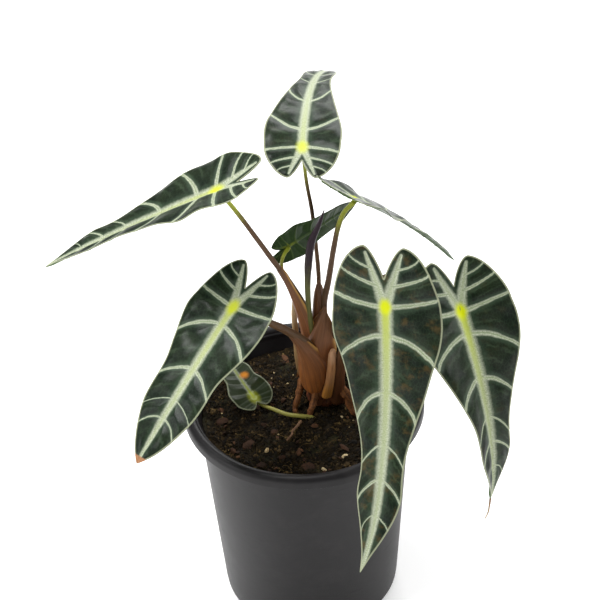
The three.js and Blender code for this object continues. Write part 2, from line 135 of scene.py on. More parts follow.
LEAVES = {
    "top": Leaf(
        (-5.5, 26, 147), (86, 74), (12, -39), (3, -2), 26, 124, 20, 19.5, 1, 0.1,
        [(0, 3, 2), (0, 3, 30), (-1, 4, 58), (0, 10, 75), (-1, 18, 96), (-2, 22, 110),
         (-4, 25, 125)],
        (3.4, 1.3, 0.9), 0.4, freckle=0.15, yellow=0.35,
    ),
    "upper_right": Leaf(
        (20, -2, 133), (40, 38), (-40, -54), (0, 2), -47, 104, 19, 26, 5, 0,
        [(4, 0, 2), (3, 0, 30), (2, 0, 64), (5, -1, 82), (8, -2, 102), (11, -2, 117),
         (14, -2, 125)],
        (3.6, 1.9, 1.2), 0.4, ruffle=1.4,
    ),
    "upper_left": Leaf(
        (-49, -10, 148), (173, 178), (-26, -29), (-1, 7), -28, 104, 23, 26, 13, 0,
        [(-4, 0, 2), (-4, 0, 25), (-5, 0, 44), (-10, -2, 70), (-26, -6, 105), (-43, -8, 138)],
        (3.8, 1.7, 1.1), 0.34, yellow=0.55,
    ),
    "back": Leaf(
        (-15, 6, 100), (20, 32), (23, 12), (-81, -75), 0, 43, 12.3, 10, -4, 0.94,
        [(-6, 5, 2), (-7, 6, 26), (-9, 6, 50), (-14, 4, 72), (-19, 2.5, 87), (-18, 2, 96)],
        (3, 1.3, 0.9), 0.3, plain=0.5,
    ),
    "right": Leaf(
        (71, -30, 80), (295, 307), (-52, -96), (18, -22), -72, 115, 27.5, 29, 18, 0.02,
        [(3, -4, 2), (2, -5, 26), (7, -6, 53), (15, -8, 71), (38, -13, 92), (60, -20, 93),
         (69, -25, 84)],
        (5.4, 2.3, 1.3), 0.52, freckle=0.2,
    ),
    "front": Leaf(
        (31, -56, 106), (272, 238), (-73, -62), (24, -2), -75, 144, 28.5, 31.5, -3, 0,
        [(7, -5, 2), (8, -9, 23), (12, -14, 48), (18, -24, 74), (25, -38, 96), (30, -50, 107)],
        (4.0, 2.3, 1.4), 0.4, freckle=1.0, bend=2.8,
    ),
    "lower_left": Leaf(
        (-44, -34, 93), (230, 226), (-28, -39), (-4, -4), -35, 92, 23, 24.5, 1, 1,
        [(-3, -6, 2), (0, -7, 20), (-6, -9, 43), (-16, -14, 58), (-26, -20, 70), (-40, -30, 86)],
        (6, 2.6, 1.4), 0.42, dry=1.0, yellow=0.7, laterals=WIDE_APART,
    ),
    "seedling": Leaf(
        (-38, -6, 7.5), (123, 108), (18, -8), (3, -7), 20, 34, 12, 7, 4, 1,
        [(-3, -17, -4), (-7, -17, 0.6), (-13, -17, 2.2), (-20, -15.5, 2.6), (-28, -11, 3),
         (-34, -8, 3.8)],
        (1.4, 1.2, 0.9), 0.2, freckle=0.5, plain=1.0,
    ),
}


# ---- Curves ----
def mix(a, b, t):
    return a + (b - a) * t


def ease(t):
    """Smooth step: three t squared less two t cubed, held between 0 and 1."""
    t = np.clip(t, 0, 1)
    return t * t * (3 - 2 * t)


def through(stations, x):
    """A cubic between each two stations, its slope at a station that of its neighbours' chord."""
    xs, ys = np.array(stations, float).T
    chord = (ys[2:] - ys[:-2]) / (xs[2:] - xs[:-2])
    ends = [(ys[1] - ys[0]) / (xs[1] - xs[0]), (ys[-1] - ys[-2]) / (xs[-1] - xs[-2])]
    slope = np.concatenate([ends[:1], chord, ends[1:]])
    i = np.clip(np.searchsorted(xs, x, side="right") - 1, 0, len(xs) - 2)
    h = xs[i + 1] - xs[i]
    t = (x - xs[i]) / h
    r = 1 - t
    held = ys[i] * (1 + 2 * t) * r * r + ys[i + 1] * t * t * (3 - 2 * t)
    return held + slope[i] * h * t * r * r - slope[i + 1] * h * t * t * r


def smooth_path(points, count):
    """A centripetal Catmull-Rom curve through the points, at count places evenly along it."""
    p = np.array(points, float)
    p = np.vstack([2 * p[0] - p[1], p, 2 * p[-1] - p[-2]])
    span = np.sqrt(np.linalg.norm(np.diff(p, axis=0), axis=1))
    t = np.linspace(0, 1, 40, endpoint=False)[:, None]
    runs = []
    for i in range(1, len(p) - 2):
        a, b, c = span[i - 1 : i + 2]
        before, here, after = (p[j + 1] - p[j] for j in (i - 1, i, i + 1))
        start = (before / a - (p[i + 1] - p[i - 1]) / (a + b) + here / b) * b
        end = (here / b - (p[i + 2] - p[i]) / (b + c) + after / c) * b
        h = 2 * t**3 - 3 * t**2
        runs.append(p[i] * (1 + h) - p[i + 1] * h
                    + start * (t**3 - 2 * t**2 + t) + end * (t**3 - t**2))
    fine = np.vstack([*runs, p[-2]])
    far = np.concatenate([[0], np.cumsum(np.linalg.norm(np.diff(fine, axis=0), axis=1))])
    at = np.linspace(0, far[-1], count)
    return np.stack([np.interp(at, far, fine[:, k]) for k in range(3)], 1)


def unit(v):
    return v / np.maximum(np.linalg.norm(v, axis=-1, keepdims=True), 1e-12)


def turns(count):
    """Angles evenly round a circle."""
    return np.linspace(0, 2 * np.pi, count, endpoint=False)


def upright(r, turn, z):
    """Points at a radius, a turn and a height about the upright axis."""
    return np.stack(np.broadcast_arrays(r * np.cos(turn), r * np.sin(turn), z), -1)


def rumple(p, size, seed, waves=14):
    """Smooth noise of about that size: the mean of plane waves in random directions."""
    rng = np.random.default_rng(seed)
    way = unit(rng.normal(size=(waves, p.shape[-1]))) * rng.uniform(0.6, 1.7, (waves, 1))
    turn = rng.uniform(0, 2 * np.pi, waves)
    return np.sin(p @ way.T * (2 * np.pi / size) + turn).sum(-1) / math.sqrt(waves)


def far_from(points, path):
    """Each point's distance to a line of segments."""
    best = np.full(points.shape[:-1], 1e9)
    for start, end in zip(path[:-1], path[1:]):
        way = end - start
        t = np.clip(((points - start) @ way) / max(way @ way, 1e-12), 0, 1)
        best = np.minimum(best, np.linalg.norm(points - start - t[..., None] * way, axis=-1))
    return best


# ---- Meshes ----
def grid_faces(rows, columns, first=0, ring=False, flip=False):
    """Two triangles for each cell of a grid of points; a ring's last column joins its first."""
    r, c = np.meshgrid(np.arange(rows - 1), np.arange(columns - (0 if ring else 1)), indexing="ij")
    nxt = (c + 1) % columns
    a, b = first + r * columns + c, first + r * columns + nxt
    d, e = a + columns, b + columns
    tris = np.stack([np.stack([a, b, e], -1), np.stack([a, e, d], -1)], -2).reshape(-1, 3)
    return tris[:, ::-1] if flip else tris


def repeated(faces, copies, step):
    """The triangles of one piece for every copy, each copy's points a step further on."""
    return (faces[None] + (np.arange(copies) * step)[:, None, None]).reshape(-1, 3)


def welded(points, faces, values, near=1e-7):
    """Points that coincide become one, and faces that lose their area go."""
    _, first, back = np.unique(np.round(points / near).astype(np.int64), axis=0,
                               return_index=True, return_inverse=True)
    faces = back.reshape(-1)[faces]
    a, b, c = faces.T
    faces = faces[(a != b) & (b != c) & (c != a)]
    return points[first], faces, {k: v[first] for k, v in values.items()}


def piece(name, points, faces, values, material, slot, *nodes, smooth=True, weld=True):
    """A mesh from arrays: points in metres, triangles, and values to carry at each point."""
    if weld:
        points, faces, values = welded(points, faces, values)
    mesh = bpy.data.meshes.new(name)
    mesh.vertices.add(len(points))
    mesh.vertices.foreach_set("co", np.asarray(points, np.float32).ravel())
    mesh.loops.add(3 * len(faces))
    mesh.loops.foreach_set("vertex_index", np.asarray(faces, np.int32).ravel())
    mesh.polygons.add(len(faces))
    mesh.polygons.foreach_set("loop_start", np.arange(0, 3 * len(faces), 3, dtype=np.int32))
    mesh.update(calc_edges=True)
    mesh.polygons.foreach_set("use_smooth", np.full(len(faces), smooth))
    for key, value in values.items():
        kind, field = ("FLOAT_VECTOR", "vector") if value.ndim == 2 else ("FLOAT", "value")
        mesh.attributes.new(key, kind, "POINT").data.foreach_set(field, np.float32(value).ravel())
    mesh.materials.append(material)
    thing = bpy.data.objects.new(name, mesh)
    bpy.context.collection.objects.link(thing)
    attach(thing, "root")
    if nodes:
        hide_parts(*nodes)
    return thing


def swept(path, radius, sides=24):
    """A tube: at each place on the path a ring of radius(share, turn), turned as little as can be
    from one ring to the next, with both ends drawn in to a point. Gives points, faces, share and
    turn."""
    way = unit(np.gradient(path, axis=0))
    across = np.empty_like(path)
    side = np.cross(way[0], [0.0, 0.0, 1.0])
    if np.linalg.norm(side) < 0.1:
        side = np.array([1.0, 0.0, 0.0])
    for i in range(len(path)):
        side = side - way[i] * (side @ way[i])
        side = side / np.linalg.norm(side)
        across[i] = side
    other = np.cross(way, across)
    share = np.linspace(0, 1, len(path))[:, None] * np.ones(sides)
    turn = turns(sides) * np.ones((len(path), 1))
    r = radius(share, turn)
    ring = across[:, None] * np.cos(turn)[..., None] + other[:, None] * np.sin(turn)[..., None]
    body = path[:, None] + ring * r[..., None]
    ends = np.repeat(path[[0, -1]][:, None], sides, 1)
    points = np.concatenate([ends[:1], body, ends[1:]])
    share = np.concatenate([share[:1], share, share[-1:]])
    turn = np.concatenate([turn[:1], turn, turn[-1:]])
    faces = grid_faces(len(points), sides, ring=True)
    return points.reshape(-1, 3), faces, share.ravel(), turn.ravel()


# ---- Materials ----
class Wire:
    """A socket of a material. + - and * on wires and numbers add Math nodes."""

    def __init__(self, finish, socket):
        self.finish, self.socket = finish, socket

    def math(self, kind, *values):
        return self.finish.node("ShaderNodeMath", {"operation": kind}, dict(enumerate(values)))

    def __add__(self, other): return self.math("ADD", self, other)
    def __radd__(self, other): return self.math("ADD", other, self)
    def __sub__(self, other): return self.math("SUBTRACT", self, other)
    def __rsub__(self, other): return self.math("SUBTRACT", other, self)
    def __mul__(self, other): return self.math("MULTIPLY", self, other)
    def __rmul__(self, other): return self.math("MULTIPLY", other, self)
    def exp(self): return self.math("EXPONENT", self)
    def sin(self): return self.math("SINE", self)
    def size(self): return self.math("ABSOLUTE", self)
    def least(self, other): return self.math("MINIMUM", self, other)

    def step(self, low, high):
        """0 below low and 1 above high, with a smooth step between; low may be the higher."""
        settings = {"interpolation_type": "SMOOTHSTEP"}
        inputs = {"Value": self, "From Min": low, "From Max": high}
        return self.finish.node("ShaderNodeMapRange", settings, inputs)


class Finish:
    """A material with one Principled shader. Constant values are set on the shader's sockets."""

    def __init__(self, name, **constants):
        self.material = bpy.data.materials.new(name)
        self.material.use_nodes = True
        self.tree = self.material.node_tree
        self.tree.nodes.clear()
        self.shader = self.tree.nodes.new("ShaderNodeBsdfPrincipled")
        out = self.tree.nodes.new("ShaderNodeOutputMaterial")
        self.tree.links.new(self.shader.outputs[0], out.inputs["Surface"])
        for key, value in constants.items():
            self.shader.inputs[key.replace("_", " ")].default_value = value

    def node(self, kind, settings, inputs, out=0):
        """A node of that kind, its settings first, then the values or wires of its sockets."""
        made = self.tree.nodes.new(kind)
        for key, value in settings.items():
            if key == "stops":
                for stop, (at, colour) in zip(self.stops(made, len(value)), value):
                    stop.position, stop.color = at, (*colour, 1)
            else:
                setattr(made, key, value)
        for key, value in inputs.items():
            if isinstance(value, Wire):
                self.tree.links.new(value.socket, made.inputs[key])
            else:
                made.inputs[key].default_value = value
        return Wire(self, made.outputs[out])

    @staticmethod
    def stops(ramp, count):
        while len(ramp.color_ramp.elements) < count:
            ramp.color_ramp.elements.new(0.5)
        return ramp.color_ramp.elements

    def place(self):
        return self.node("ShaderNodeTexCoord", {}, {}, "Object")

    def value(self, name):
        return self.node("ShaderNodeAttribute", {"attribute_name": name}, {}, "Fac")

    def vector(self, name):
        return self.node("ShaderNodeAttribute", {"attribute_name": name}, {}, "Vector")

    def part(self, vector, axis):
        return self.node("ShaderNodeSeparateXYZ", {}, {0: vector}, axis)

    def length(self, vector):
        return self.node("ShaderNodeVectorMath", {"operation": "LENGTH"}, {0: vector}, "Value")

    def stretch(self, vector, x, y, z):
        settings = {"operation": "MULTIPLY"}
        return self.node("ShaderNodeVectorMath", settings, {0: vector, 1: (x, y, z)})

    def beyond(self, vector, origin):
        settings = {"operation": "SUBTRACT"}
        return self.node("ShaderNodeVectorMath", settings, {0: vector, 1: origin})

    def noise(self, vector, scale, detail=3.0, rough=0.55, warp=0.0):
        inputs = {"Vector": vector, "Scale": scale, "Detail": detail, "Roughness": rough,
                  "Distortion": warp}
        return self.node("ShaderNodeTexNoise", {}, inputs)

    def cells(self, vector, scale, feature="F1", out="Distance"):
        settings = {"feature": feature}
        return self.node("ShaderNodeTexVoronoi", settings, {"Vector": vector, "Scale": scale}, out)

    def blend(self, share, low, high):
        """The colour low where share is 0 and high where it is 1."""
        low, high = (c if isinstance(c, Wire) else (*c, 1) for c in (low, high))
        return self.node("ShaderNodeMix", {"data_type": "RGBA"}, {0: share, 6: low, 7: high}, 2)

    def ramp(self, share, *stops):
        return self.node("ShaderNodeValToRGB", {"stops": stops}, {0: share})

    def bump(self, height, distance, strength=1.0):
        inputs = {"Height": height, "Distance": distance, "Strength": strength}
        return self.node("ShaderNodeBump", {}, inputs)

    def wire(self, **sockets):
        for key, value in sockets.items():
            self.tree.links.new(value.socket, self.shader.inputs[key.replace("_", " ")])
        return self.material


def leaf_finish():
    """Distances to the veins are in half widths of the vein, so each mask is 1 on the vein and
    falls off past 1; growth is in cm. The back of a blade is paler, with faint veins."""
    f = Finish("glossy leaf", Specular_IOR_Level=0.13)
    grown, upper, edge = f.vector("growth"), f.value("upper"), f.value("edge")
    phase, mid, rib = f.value("phase"), f.vector("mid"), f.vector("rib")
    freckle, dry, plain = f.value("freckle"), f.value("dry"), f.value("plain")
    yellow = f.value("yellow")
    down = f.part(grown, 1)
    fine = f.noise(grown, 16, 4, 0.6)
    feather = f.noise(grown, 5.5, 6, 0.75)
    patch = f.noise(grown, 0.9, 3, 0.5)
    worn = (feather - 0.5) * 1.1 + (fine - 0.5) * 0.6

    phase = phase + (f.noise(grown, 0.8, 2) - 0.5) * 0.12
    nearest = f.node("ShaderNodeMath", {"operation": "ROUND"}, {0: phase})
    to_lateral = (phase - nearest).size() * f.value("lateral")
    inside = f.part(rib, 0).step(0.1, -0.1) * down.step(0.0, -0.05)
    to_lateral = to_lateral + inside * AFAR
    to_mid, to_rib = f.length(mid), f.length(rib)
    to_vein = to_mid.least(to_rib).least(to_lateral)
    lit = (to_vein + worn * 0.75).step(1.55, 0.60)
    halo = (to_vein.least(to_lateral * 0.7) + worn * 1.5).step(2.9, 0.9) * (1.0 - plain * 0.8)
    core = (to_vein + worn * 0.3).step(0.55, 0.15)
    thread = (to_lateral + worn * 0.4).step(0.55, 0.10) * to_mid.step(1.0, 1.6)
    heart = (to_mid + worn * 0.3).step(0.95, 0.25)
    knot = f.length(f.stretch(grown, 1.1, 0.8, 0)) + worn * 0.08
    lime = knot.step(0.50, 0.14)
    trail = heart * (down * -0.33).exp() * down.step(-0.3, 0.3)
    line = (edge + (fine - 0.5) * 0.4).step(0.95, 0.35)
    net = f.cells(f.stretch(grown, 1, 0.7, 1), 5.5, "DISTANCE_TO_EDGE").step(0.10, 0.0)
    arcs = (phase * 19.0 + feather * 6.0).sin().step(0.55, 1.0) * patch.step(0.40, 0.62)

    # The face: dark between the veins, with a net and a halo; then the veins, pale to lime
    dark = f.blend(patch.step(0.3, 0.7), (0.0036, 0.0078, 0.0040), (0.0110, 0.0180, 0.0078))
    dark = f.blend(net * 0.14, dark, (0.05, 0.09, 0.05))
    dark = f.blend(arcs * 0.20, dark, (0.08, 0.12, 0.07))
    dark = f.blend(halo * 0.36, dark, (0.070, 0.110, 0.068))
    spots = f.noise(grown, 1.5, 4, 0.6).step(0.50, 0.70) * freckle
    dark = f.blend(spots * 0.5, dark, (0.085, 0.055, 0.018))
    pale = f.blend(fine.step(0.30, 0.70), (0.215, 0.255, 0.165), (0.48, 0.51, 0.39))
    pale = f.blend(core * yellow * 0.40, pale, (0.27, 0.32, 0.17))
    pale = f.blend(thread * 0.45, pale, (0.130, 0.180, 0.090))
    pale = f.blend(trail * yellow * 0.95, pale, (0.42, 0.48, 0.04))
    above = f.blend(plain * 0.8, dark, (0.013, 0.019, 0.006))
    above = f.blend(lit * (1.0 - plain * (0.66 + to_mid.step(1.2, 1.6) * 0.31)), above, pale)
    above = f.blend(lime * (1.0 - plain * 0.75) * (yellow * 0.5 + 0.5), above, (0.54, 0.59, 0.005))
    sore = f.length(f.beyond(grown, (0.30, 1.55, LEAVES_APART * list(LEAVES).index("seedling"))))
    above = f.blend((sore + worn * 0.16).step(0.36, 0.06) * plain * 0.9, above, (0.40, 0.14, 0.010))
    above = f.blend(line * (0.75 - plain * 0.4), above, (0.33, 0.35, 0.23))

    # The back, and the dry tip over both
    tissue = f.blend(patch.step(0.3, 0.7), (0.030, 0.068, 0.020), (0.060, 0.115, 0.036))
    tissue = f.blend(plain, tissue, (0.006, 0.012, 0.004))
    veined = f.blend(lime, (0.13, 0.19, 0.065), (0.42, 0.48, 0.04))
    below = f.blend((to_vein + worn * 0.3).step(1.1, 0.3) * (0.40 - plain * 0.2), tissue, veined)
    colour = f.blend(upper, below, above)
    crisp = f.blend(fine, (0.20, 0.080, 0.035), (0.44, 0.24, 0.12))
    spread = dry + (feather - 0.5) * 0.6 * dry.step(0.0, 0.2)
    colour = f.blend(spread.step(0.4, 0.7), colour, crisp)
    rough = lit * 0.14 + (patch - 0.5) * 0.08 + 0.32 + dry * 0.3
    height = feather * 0.35 - net * 0.10 - lit * 0.25
    return f.wire(Base_Color=colour, Roughness=rough, Normal=f.bump(height, 0.0003, 0.35))


def stalk_finish(name, foot, middle, top, top_from):
    """A stalk: foot's colour low down, then middle's, and top's from that share of the way up."""
    f = Finish(name, Specular_IOR_Level=0.22)
    grown, share = f.vector("growth"), f.value("share")
    lines = f.noise(f.stretch(grown, 3.0, 0.12, 1), 3.0, 4, 0.6)
    blotch = f.noise(grown, 0.9, 4, 0.6)
    along = share + (blotch - 0.5) * 0.22
    colour = f.blend(along.step(0.12, 0.48), foot, middle)
    colour = f.blend(lines.step(0.30, 0.72) * 0.6, colour, tuple(c * 0.42 for c in middle))
    colour = f.blend(lines.step(0.60, 0.80) * 0.5, colour, tuple(min(1, c * 1.9) for c in middle))
    colour = f.blend(along.step(top_from, top_from + 0.15), colour, top)
    height = lines * 0.6 + f.noise(grown, 14, 2, 0.5) * 0.2
    rough = blotch * 0.2 + 0.30
    return f.wire(Base_Color=colour, Roughness=rough, Normal=f.bump(height, 0.0004, 0.5))


def sheath_finish():
    f = Finish("clasping sheath", Specular_IOR_Level=0.25)
    grown, share, rim = f.vector("growth"), f.value("share"), f.value("rim")
    lines = f.noise(f.stretch(grown, 2.6, 0.14, 1), 2.4, 5, 0.62)
    blotch = f.noise(grown, 0.7, 4, 0.6)
    colour = f.blend(share + (blotch - 0.5) * 0.5, (0.400, 0.130, 0.030), (0.120, 0.060, 0.030))
    colour = f.blend(lines.step(0.35, 0.65) * 0.6, colour, (0.090, 0.034, 0.014))
    colour = f.blend(lines.step(0.56, 0.75) * 0.6, colour, (0.36, 0.175, 0.075))
    colour = f.blend(blotch.step(0.55, 0.75) * 0.35, colour, (0.20, 0.070, 0.036))
    margin = (rim + (blotch - 0.5) * 0.2).step(0.80, 1.0)
    colour = f.blend(margin * 0.8, colour, (0.56, 0.30, 0.075))
    height = lines * 0.8 + f.noise(grown, 12, 2, 0.5) * 0.2
    rough = blotch * 0.25 + 0.34
    return f.wire(Base_Color=colour, Roughness=rough, Normal=f.bump(height, 0.0005, 0.5))


def root_finish(name, dark, light):
    f = Finish(name, Specular_IOR_Level=0.2)
    grown = f.vector("growth")
    lines = f.noise(f.stretch(grown, 2.0, 0.3, 1), 2.4, 5, 0.65)
    rings = f.noise(f.stretch(grown, 0.2, 3.0, 1), 2.5, 3, 0.6)
    colour = f.blend((lines * 0.6 + rings * 0.4).step(0.35, 0.68), dark, light)
    height = lines * 0.5 + rings * 0.8
    rough = lines * 0.25 + 0.5
    return f.wire(Base_Color=colour, Roughness=rough, Normal=f.bump(height, 0.0006, 0.7))


def mix_finish():
    f = Finish("potting mix", Specular_IOR_Level=0.12)
    p = f.place()
    lumps, grit = f.noise(p, 190, 6, 0.65), f.noise(p, 900, 3, 0.6)
    tone = f.noise(p, 60, 3, 0.6)
    colour = f.ramp(
        lumps * 0.7 + grit * 0.3,
        (0.32, (0.0020, 0.0012, 0.0005)), (0.52, (0.0095, 0.0060, 0.0020)),
        (0.64, (0.034, 0.021, 0.007)), (0.78, (0.12, 0.075, 0.026)),
    )
    colour = f.blend(tone.step(0.50, 0.72) * 0.5, colour, (0.020, 0.021, 0.004))
    rough = 0.95 - tone.step(0.45, 0.7) * 0.35
    height = lumps * 0.6 + grit * 0.4
    return f.wire(Base_Color=colour, Roughness=rough, Normal=f.bump(height, 0.0015, 0.9))


def crumb_finish(name, stops, bump=0.0008):
    """Loose pieces: each takes its own tone from the ramp, with grain over it."""
    f = Finish(name, Specular_IOR_Level=0.15)
    p, tone = f.place(), f.value("tone")
    grain = f.noise(f.stretch(p, 1, 1, 2.2), 420, 5, 0.65)
    clump = f.noise(p, 130, 3, 0.6)
    colour = f.ramp(tone * 0.42 + grain * 0.28 + (clump - 0.5) * 0.9 + 0.15, *stops)
    return f.wire(Base_Color=colour, Roughness=grain * 0.3 + 0.6, Normal=f.bump(grain, bump, 0.8))


def pot_finish():
    f = Finish("black moulded plastic", Specular_IOR_Level=0.22)
    p = f.place()
    dust = f.noise(p, 70, 5, 0.65)
    scuff = f.noise(f.stretch(p, 1, 1, 7), 60, 4, 0.6)
    skin = f.noise(p, 1500, 2, 0.5)
    colour = f.blend(dust.step(0.42, 0.75), (0.0050, 0.0042, 0.0048), (0.0105, 0.0092, 0.0098))
    rough = 0.38 + dust * 0.14 + scuff.step(0.62, 0.8) * 0.14
    height = skin + scuff * 0.6
    return f.wire(Base_Color=colour, Roughness=rough, Normal=f.bump(height, 0.00006, 0.6))


# ---- Blades ----
def blade_frame(leaf, share):
    """The blade's frame at each share of the way to the tip, or to the lobes' ends where it is
    below 0: the direction turns evenly from one end's heading and pitch to the other's, the
    midrib's line is the sum of those directions, and the cross axes are rolled about it."""
    def run(length, pitch, heading, roll):
        s = np.linspace(0, 1, 241)
        h, p, r = (np.radians(mix(a, b, s)) for a, b in (heading, pitch, roll))
        way = np.stack([np.cos(p) * np.cos(h), np.cos(p) * np.sin(h), np.sin(p)], 1)
        line = np.vstack([[0, 0, 0], np.cumsum((way[1:] + way[:-1]) / 2 * length / 240, 0)])
        flat = np.stack([np.sin(h), -np.cos(h), 0 * h], 1)
        up = np.cross(flat, way)
        right = flat * np.cos(r)[:, None] - up * np.sin(r)[:, None]
        return line, way, right

    ahead = run(leaf.length, leaf.pitch, leaf.heading, leaf.roll)
    lobe_pitch = (leaf.pitch[0], leaf.lobe_pitch)
    back = run(-leaf.lobe, lobe_pitch, leaf.heading[:1] * 2, leaf.roll[:1] * 2)
    at = np.abs(share) * 240
    i = np.minimum(at.astype(int), 239)
    t = (at - i)[..., None]
    both = [np.where((share >= 0)[..., None], mix(a[i], a[i + 1], t), mix(b[i], b[i + 1], t))
            for a, b in zip(ahead, back)]
    line, way, right = both
    way, right = unit(way), unit(right)
    return np.array(leaf.knot) + line, way, right, np.cross(right, way)


def blade_edges(leaf, share):
    """One half's inner and outer edge across from the midrib. Past the knot the outer edge is the
    outline's station curve; in a lobe it is an arc to the lobe's end, and the inner edge leaves
    the midrib's line at the notch."""
    def margin(s):
        return np.maximum(0, mix(through(SLENDER, s), through(BROAD, s), leaf.breadth))

    back = np.clip(-share, 0, 1)
    past = np.clip((back - SINUS) / (1 - SINUS), 0, 1)
    inner = np.where(share < 0, APEX * (1 - (1 - past) ** 0.6), 0)
    arc = APEX + (margin(0 * back) - APEX) * np.maximum(0, 1 - back**1.7) ** 0.6
    outer = np.where(share < 0, arc, margin(np.clip(share, 0, 1)))
    return leaf.half_width * inner, leaf.half_width * outer


def vein_field(leaf, x, y, jitter):
    """Where a point lies among the veins of its half, x being its distance from the midrib's line.

    The laterals, from the lobe's last branch to the one nearest the tip, are numbered -2, -1, 0
    and up. Each is a height y that depends on the share of the way from rib to margin, so between
    two neighbours the phase runs evenly from one number to the next. Gives the phase, the
    distance for one unit of it in half widths of the lateral, and the two ribs' offsets in half
    widths: across and beyond the midrib's foot, across and beyond the lobe rib."""
    size = leaf.size
    share = np.where(y >= 0, y / leaf.length, y / leaf.lobe)
    outer = np.maximum(blade_edges(leaf, share)[1], 0.3)
    rib_x, rib_y = APEX * leaf.half_width * 0.9, -0.88 * leaf.lobe
    foot = np.where(y < 0, np.clip(y / rib_y, 0, 1.2) * rib_x, 0)
    out = np.clip((x - foot) / np.maximum(outer - foot, 0.3), 0, 1)
    levels, widths = [], []
    for (start, end, w0, w1), shift in zip(LOBE_BRANCHES[::-1], jitter[:3]):
        levels.append(-leaf.lobe * mix(0.88 * start, end + shift, out**1.3))
        widths.append(mix(w0, w1, out**0.7))
    for (start, end, w0, w1), shift in zip(leaf.laterals, jitter[3:]):
        levels.append(leaf.length * mix(start, end + shift, out**1.7))
        widths.append(mix(w0, w1, out**0.7))
    phase, width = np.full(x.shape, -float(len(LOBE_BRANCHES))), widths[0]
    for i in range(len(levels) - 1):
        step = np.clip((y - levels[i]) / np.maximum(levels[i + 1] - levels[i], 0.3), 0, 1)
        phase = phase + step
        width = mix(width, widths[i + 1], step)
    along_rib = (x * rib_x + y * rib_y) / math.hypot(rib_x, rib_y)
    off_rib = (x * -rib_y + y * rib_x) / math.hypot(rib_x, rib_y)
    rib_length = math.hypot(rib_x, rib_y)
    rib_width = mix(*LOBE_RIB, np.clip(along_rib / rib_length, 0, 1)) * size
    over = np.where(along_rib < 0, along_rib, np.maximum(0, along_rib - rib_length))
    mid_width = np.interp(y / leaf.length, MIDRIB[:, 0], MIDRIB[:, 1]) * size
    mid = np.stack([x, np.minimum(y, 0), 0 * x], -1) / mid_width[..., None]
    rib = np.stack([off_rib, over, 0 * x], -1) / rib_width[..., None]
    return phase, width * size, mid, rib


def blade(name, leaf, number, material):
    """A leaf blade as a slab on a grid of share by across for each half. Its face is the blade
    frame's point plus across along the fold, raised between the veins (one less a bell of the
    distance to the nearest vein and margin) and rippled at the margin; the back of it is one
    thickness below, and lower still under each vein."""
    rng = np.random.default_rng(100 + number)
    lobe_rows, rows, columns = 32, 170, 30
    share = np.concatenate([
        -np.cos(np.linspace(0, np.pi / 2, lobe_rows, endpoint=False)), np.linspace(0, 1, rows),
    ])
    inner, outer = blade_edges(leaf, share)
    across = np.linspace(0, 1, columns)
    line, _, right, up = blade_frame(leaf, share)
    drop = np.where(share < 0, leaf.lobe, leaf.length) * share
    bend = leaf.bend * np.maximum(0, (share - 0.72) / 0.28) ** 2
    size = leaf.size
    notch = share < -SINUS * 0.98
    halves = []
    for side in (1, -1):
        x = inner[:, None] + (outer - inner)[:, None] * across
        y = drop[:, None] * np.ones(columns)
        jitter = rng.normal(0, 0.011, 10) * ([0] * 3 + [0.6] + [1] * 6)
        phase, width, mid, rib = vein_field(leaf, x, y, jitter)
        near = 0.25
        run = np.hypot(*(
            vein_field(leaf, x + a, y + b, jitter)[0] - vein_field(leaf, x - a, y - b, jitter)[0]
            for a, b in ((near, 0), (0, near))
        ))
        pitch = 2 * near / np.maximum(run, 2 * near / 40)
        lateral = pitch / width
        flat = np.stack([x, y], -1)
        edge = far_from(flat, np.stack([outer, drop], 1))
        if notch.any():
            edge = np.minimum(edge, far_from(flat, np.stack([inner[notch], drop[notch]], 1)))
        to_lateral = np.abs(phase - np.round(phase)) * pitch
        inside = (rib[..., 0] < 0) & (y < 0)
        to_lateral = np.where(inside, AFAR_MM, to_lateral)
        q_mid, q_rib = np.linalg.norm(mid, axis=-1), np.linalg.norm(rib, axis=-1)
        q_lateral = to_lateral / width
        to_vein = np.minimum(np.minimum(q_mid * 1.6, q_rib * 1.6), to_lateral / 1.1)
        puff = (1 - np.exp(-((to_vein / 3.4) ** 2))) * (1 - np.exp(-((edge / (3.0 * size)) ** 2)))
        spot = np.stack([side * x, y, 0 * x + 40.0 * number], -1)
        cells = rumple(spot, 11, 21)
        uneven = 0.6 * rumple(spot, 38, 5)
        wide = x / leaf.half_width
        wave = y / leaf.length * 2 * np.pi * 3.3 + 0.9 * side + number
        ripple = leaf.ruffle * wide**2 * np.sin(wave)
        groove = (np.exp(-(q_mid**2) * 1.5) + 0.8 * np.exp(-(q_rib**2) * 1.5)
                  + 0.5 * np.exp(-(q_lateral**2)))
        relief = PUFF * puff * (1 + 0.25 * cells) - GROOVE * np.minimum(groove, 1.2) + ripple
        height = relief * size + uneven * wide
        fold = np.radians(leaf.fold)
        sideways = side * x * np.cos(fold) + bend[:, None]
        face = (line[:, None] + right[:, None] * sideways[..., None]
                + up[:, None] * (x * np.sin(fold) + height)[..., None])
        under = (0.8 * np.exp(-(q_mid**2) * 1.3) + 0.6 * np.exp(-(q_rib**2) * 1.3)
                 + 0.3 * np.exp(-(q_lateral**2) * 1.5)) * size * ease(edge / 1.5)
        fields = {"phase": phase, "lateral": lateral, "edge": edge, "x": side * x, "y": y,
                  "mid": mid, "rib": rib}
        halves.append((side, face, under, fields))
    return finish_blade(name, leaf, number, material, share, up, halves)


def ladder(a, b, flip):
    """Two triangles between each two neighbours of one line of points and those of another."""
    strip = np.concatenate([
        np.stack([a[:-1], b[:-1], b[1:]], 1), np.stack([a[:-1], b[1:], a[1:]], 1),
    ])
    return strip[:, ::-1] if flip else strip


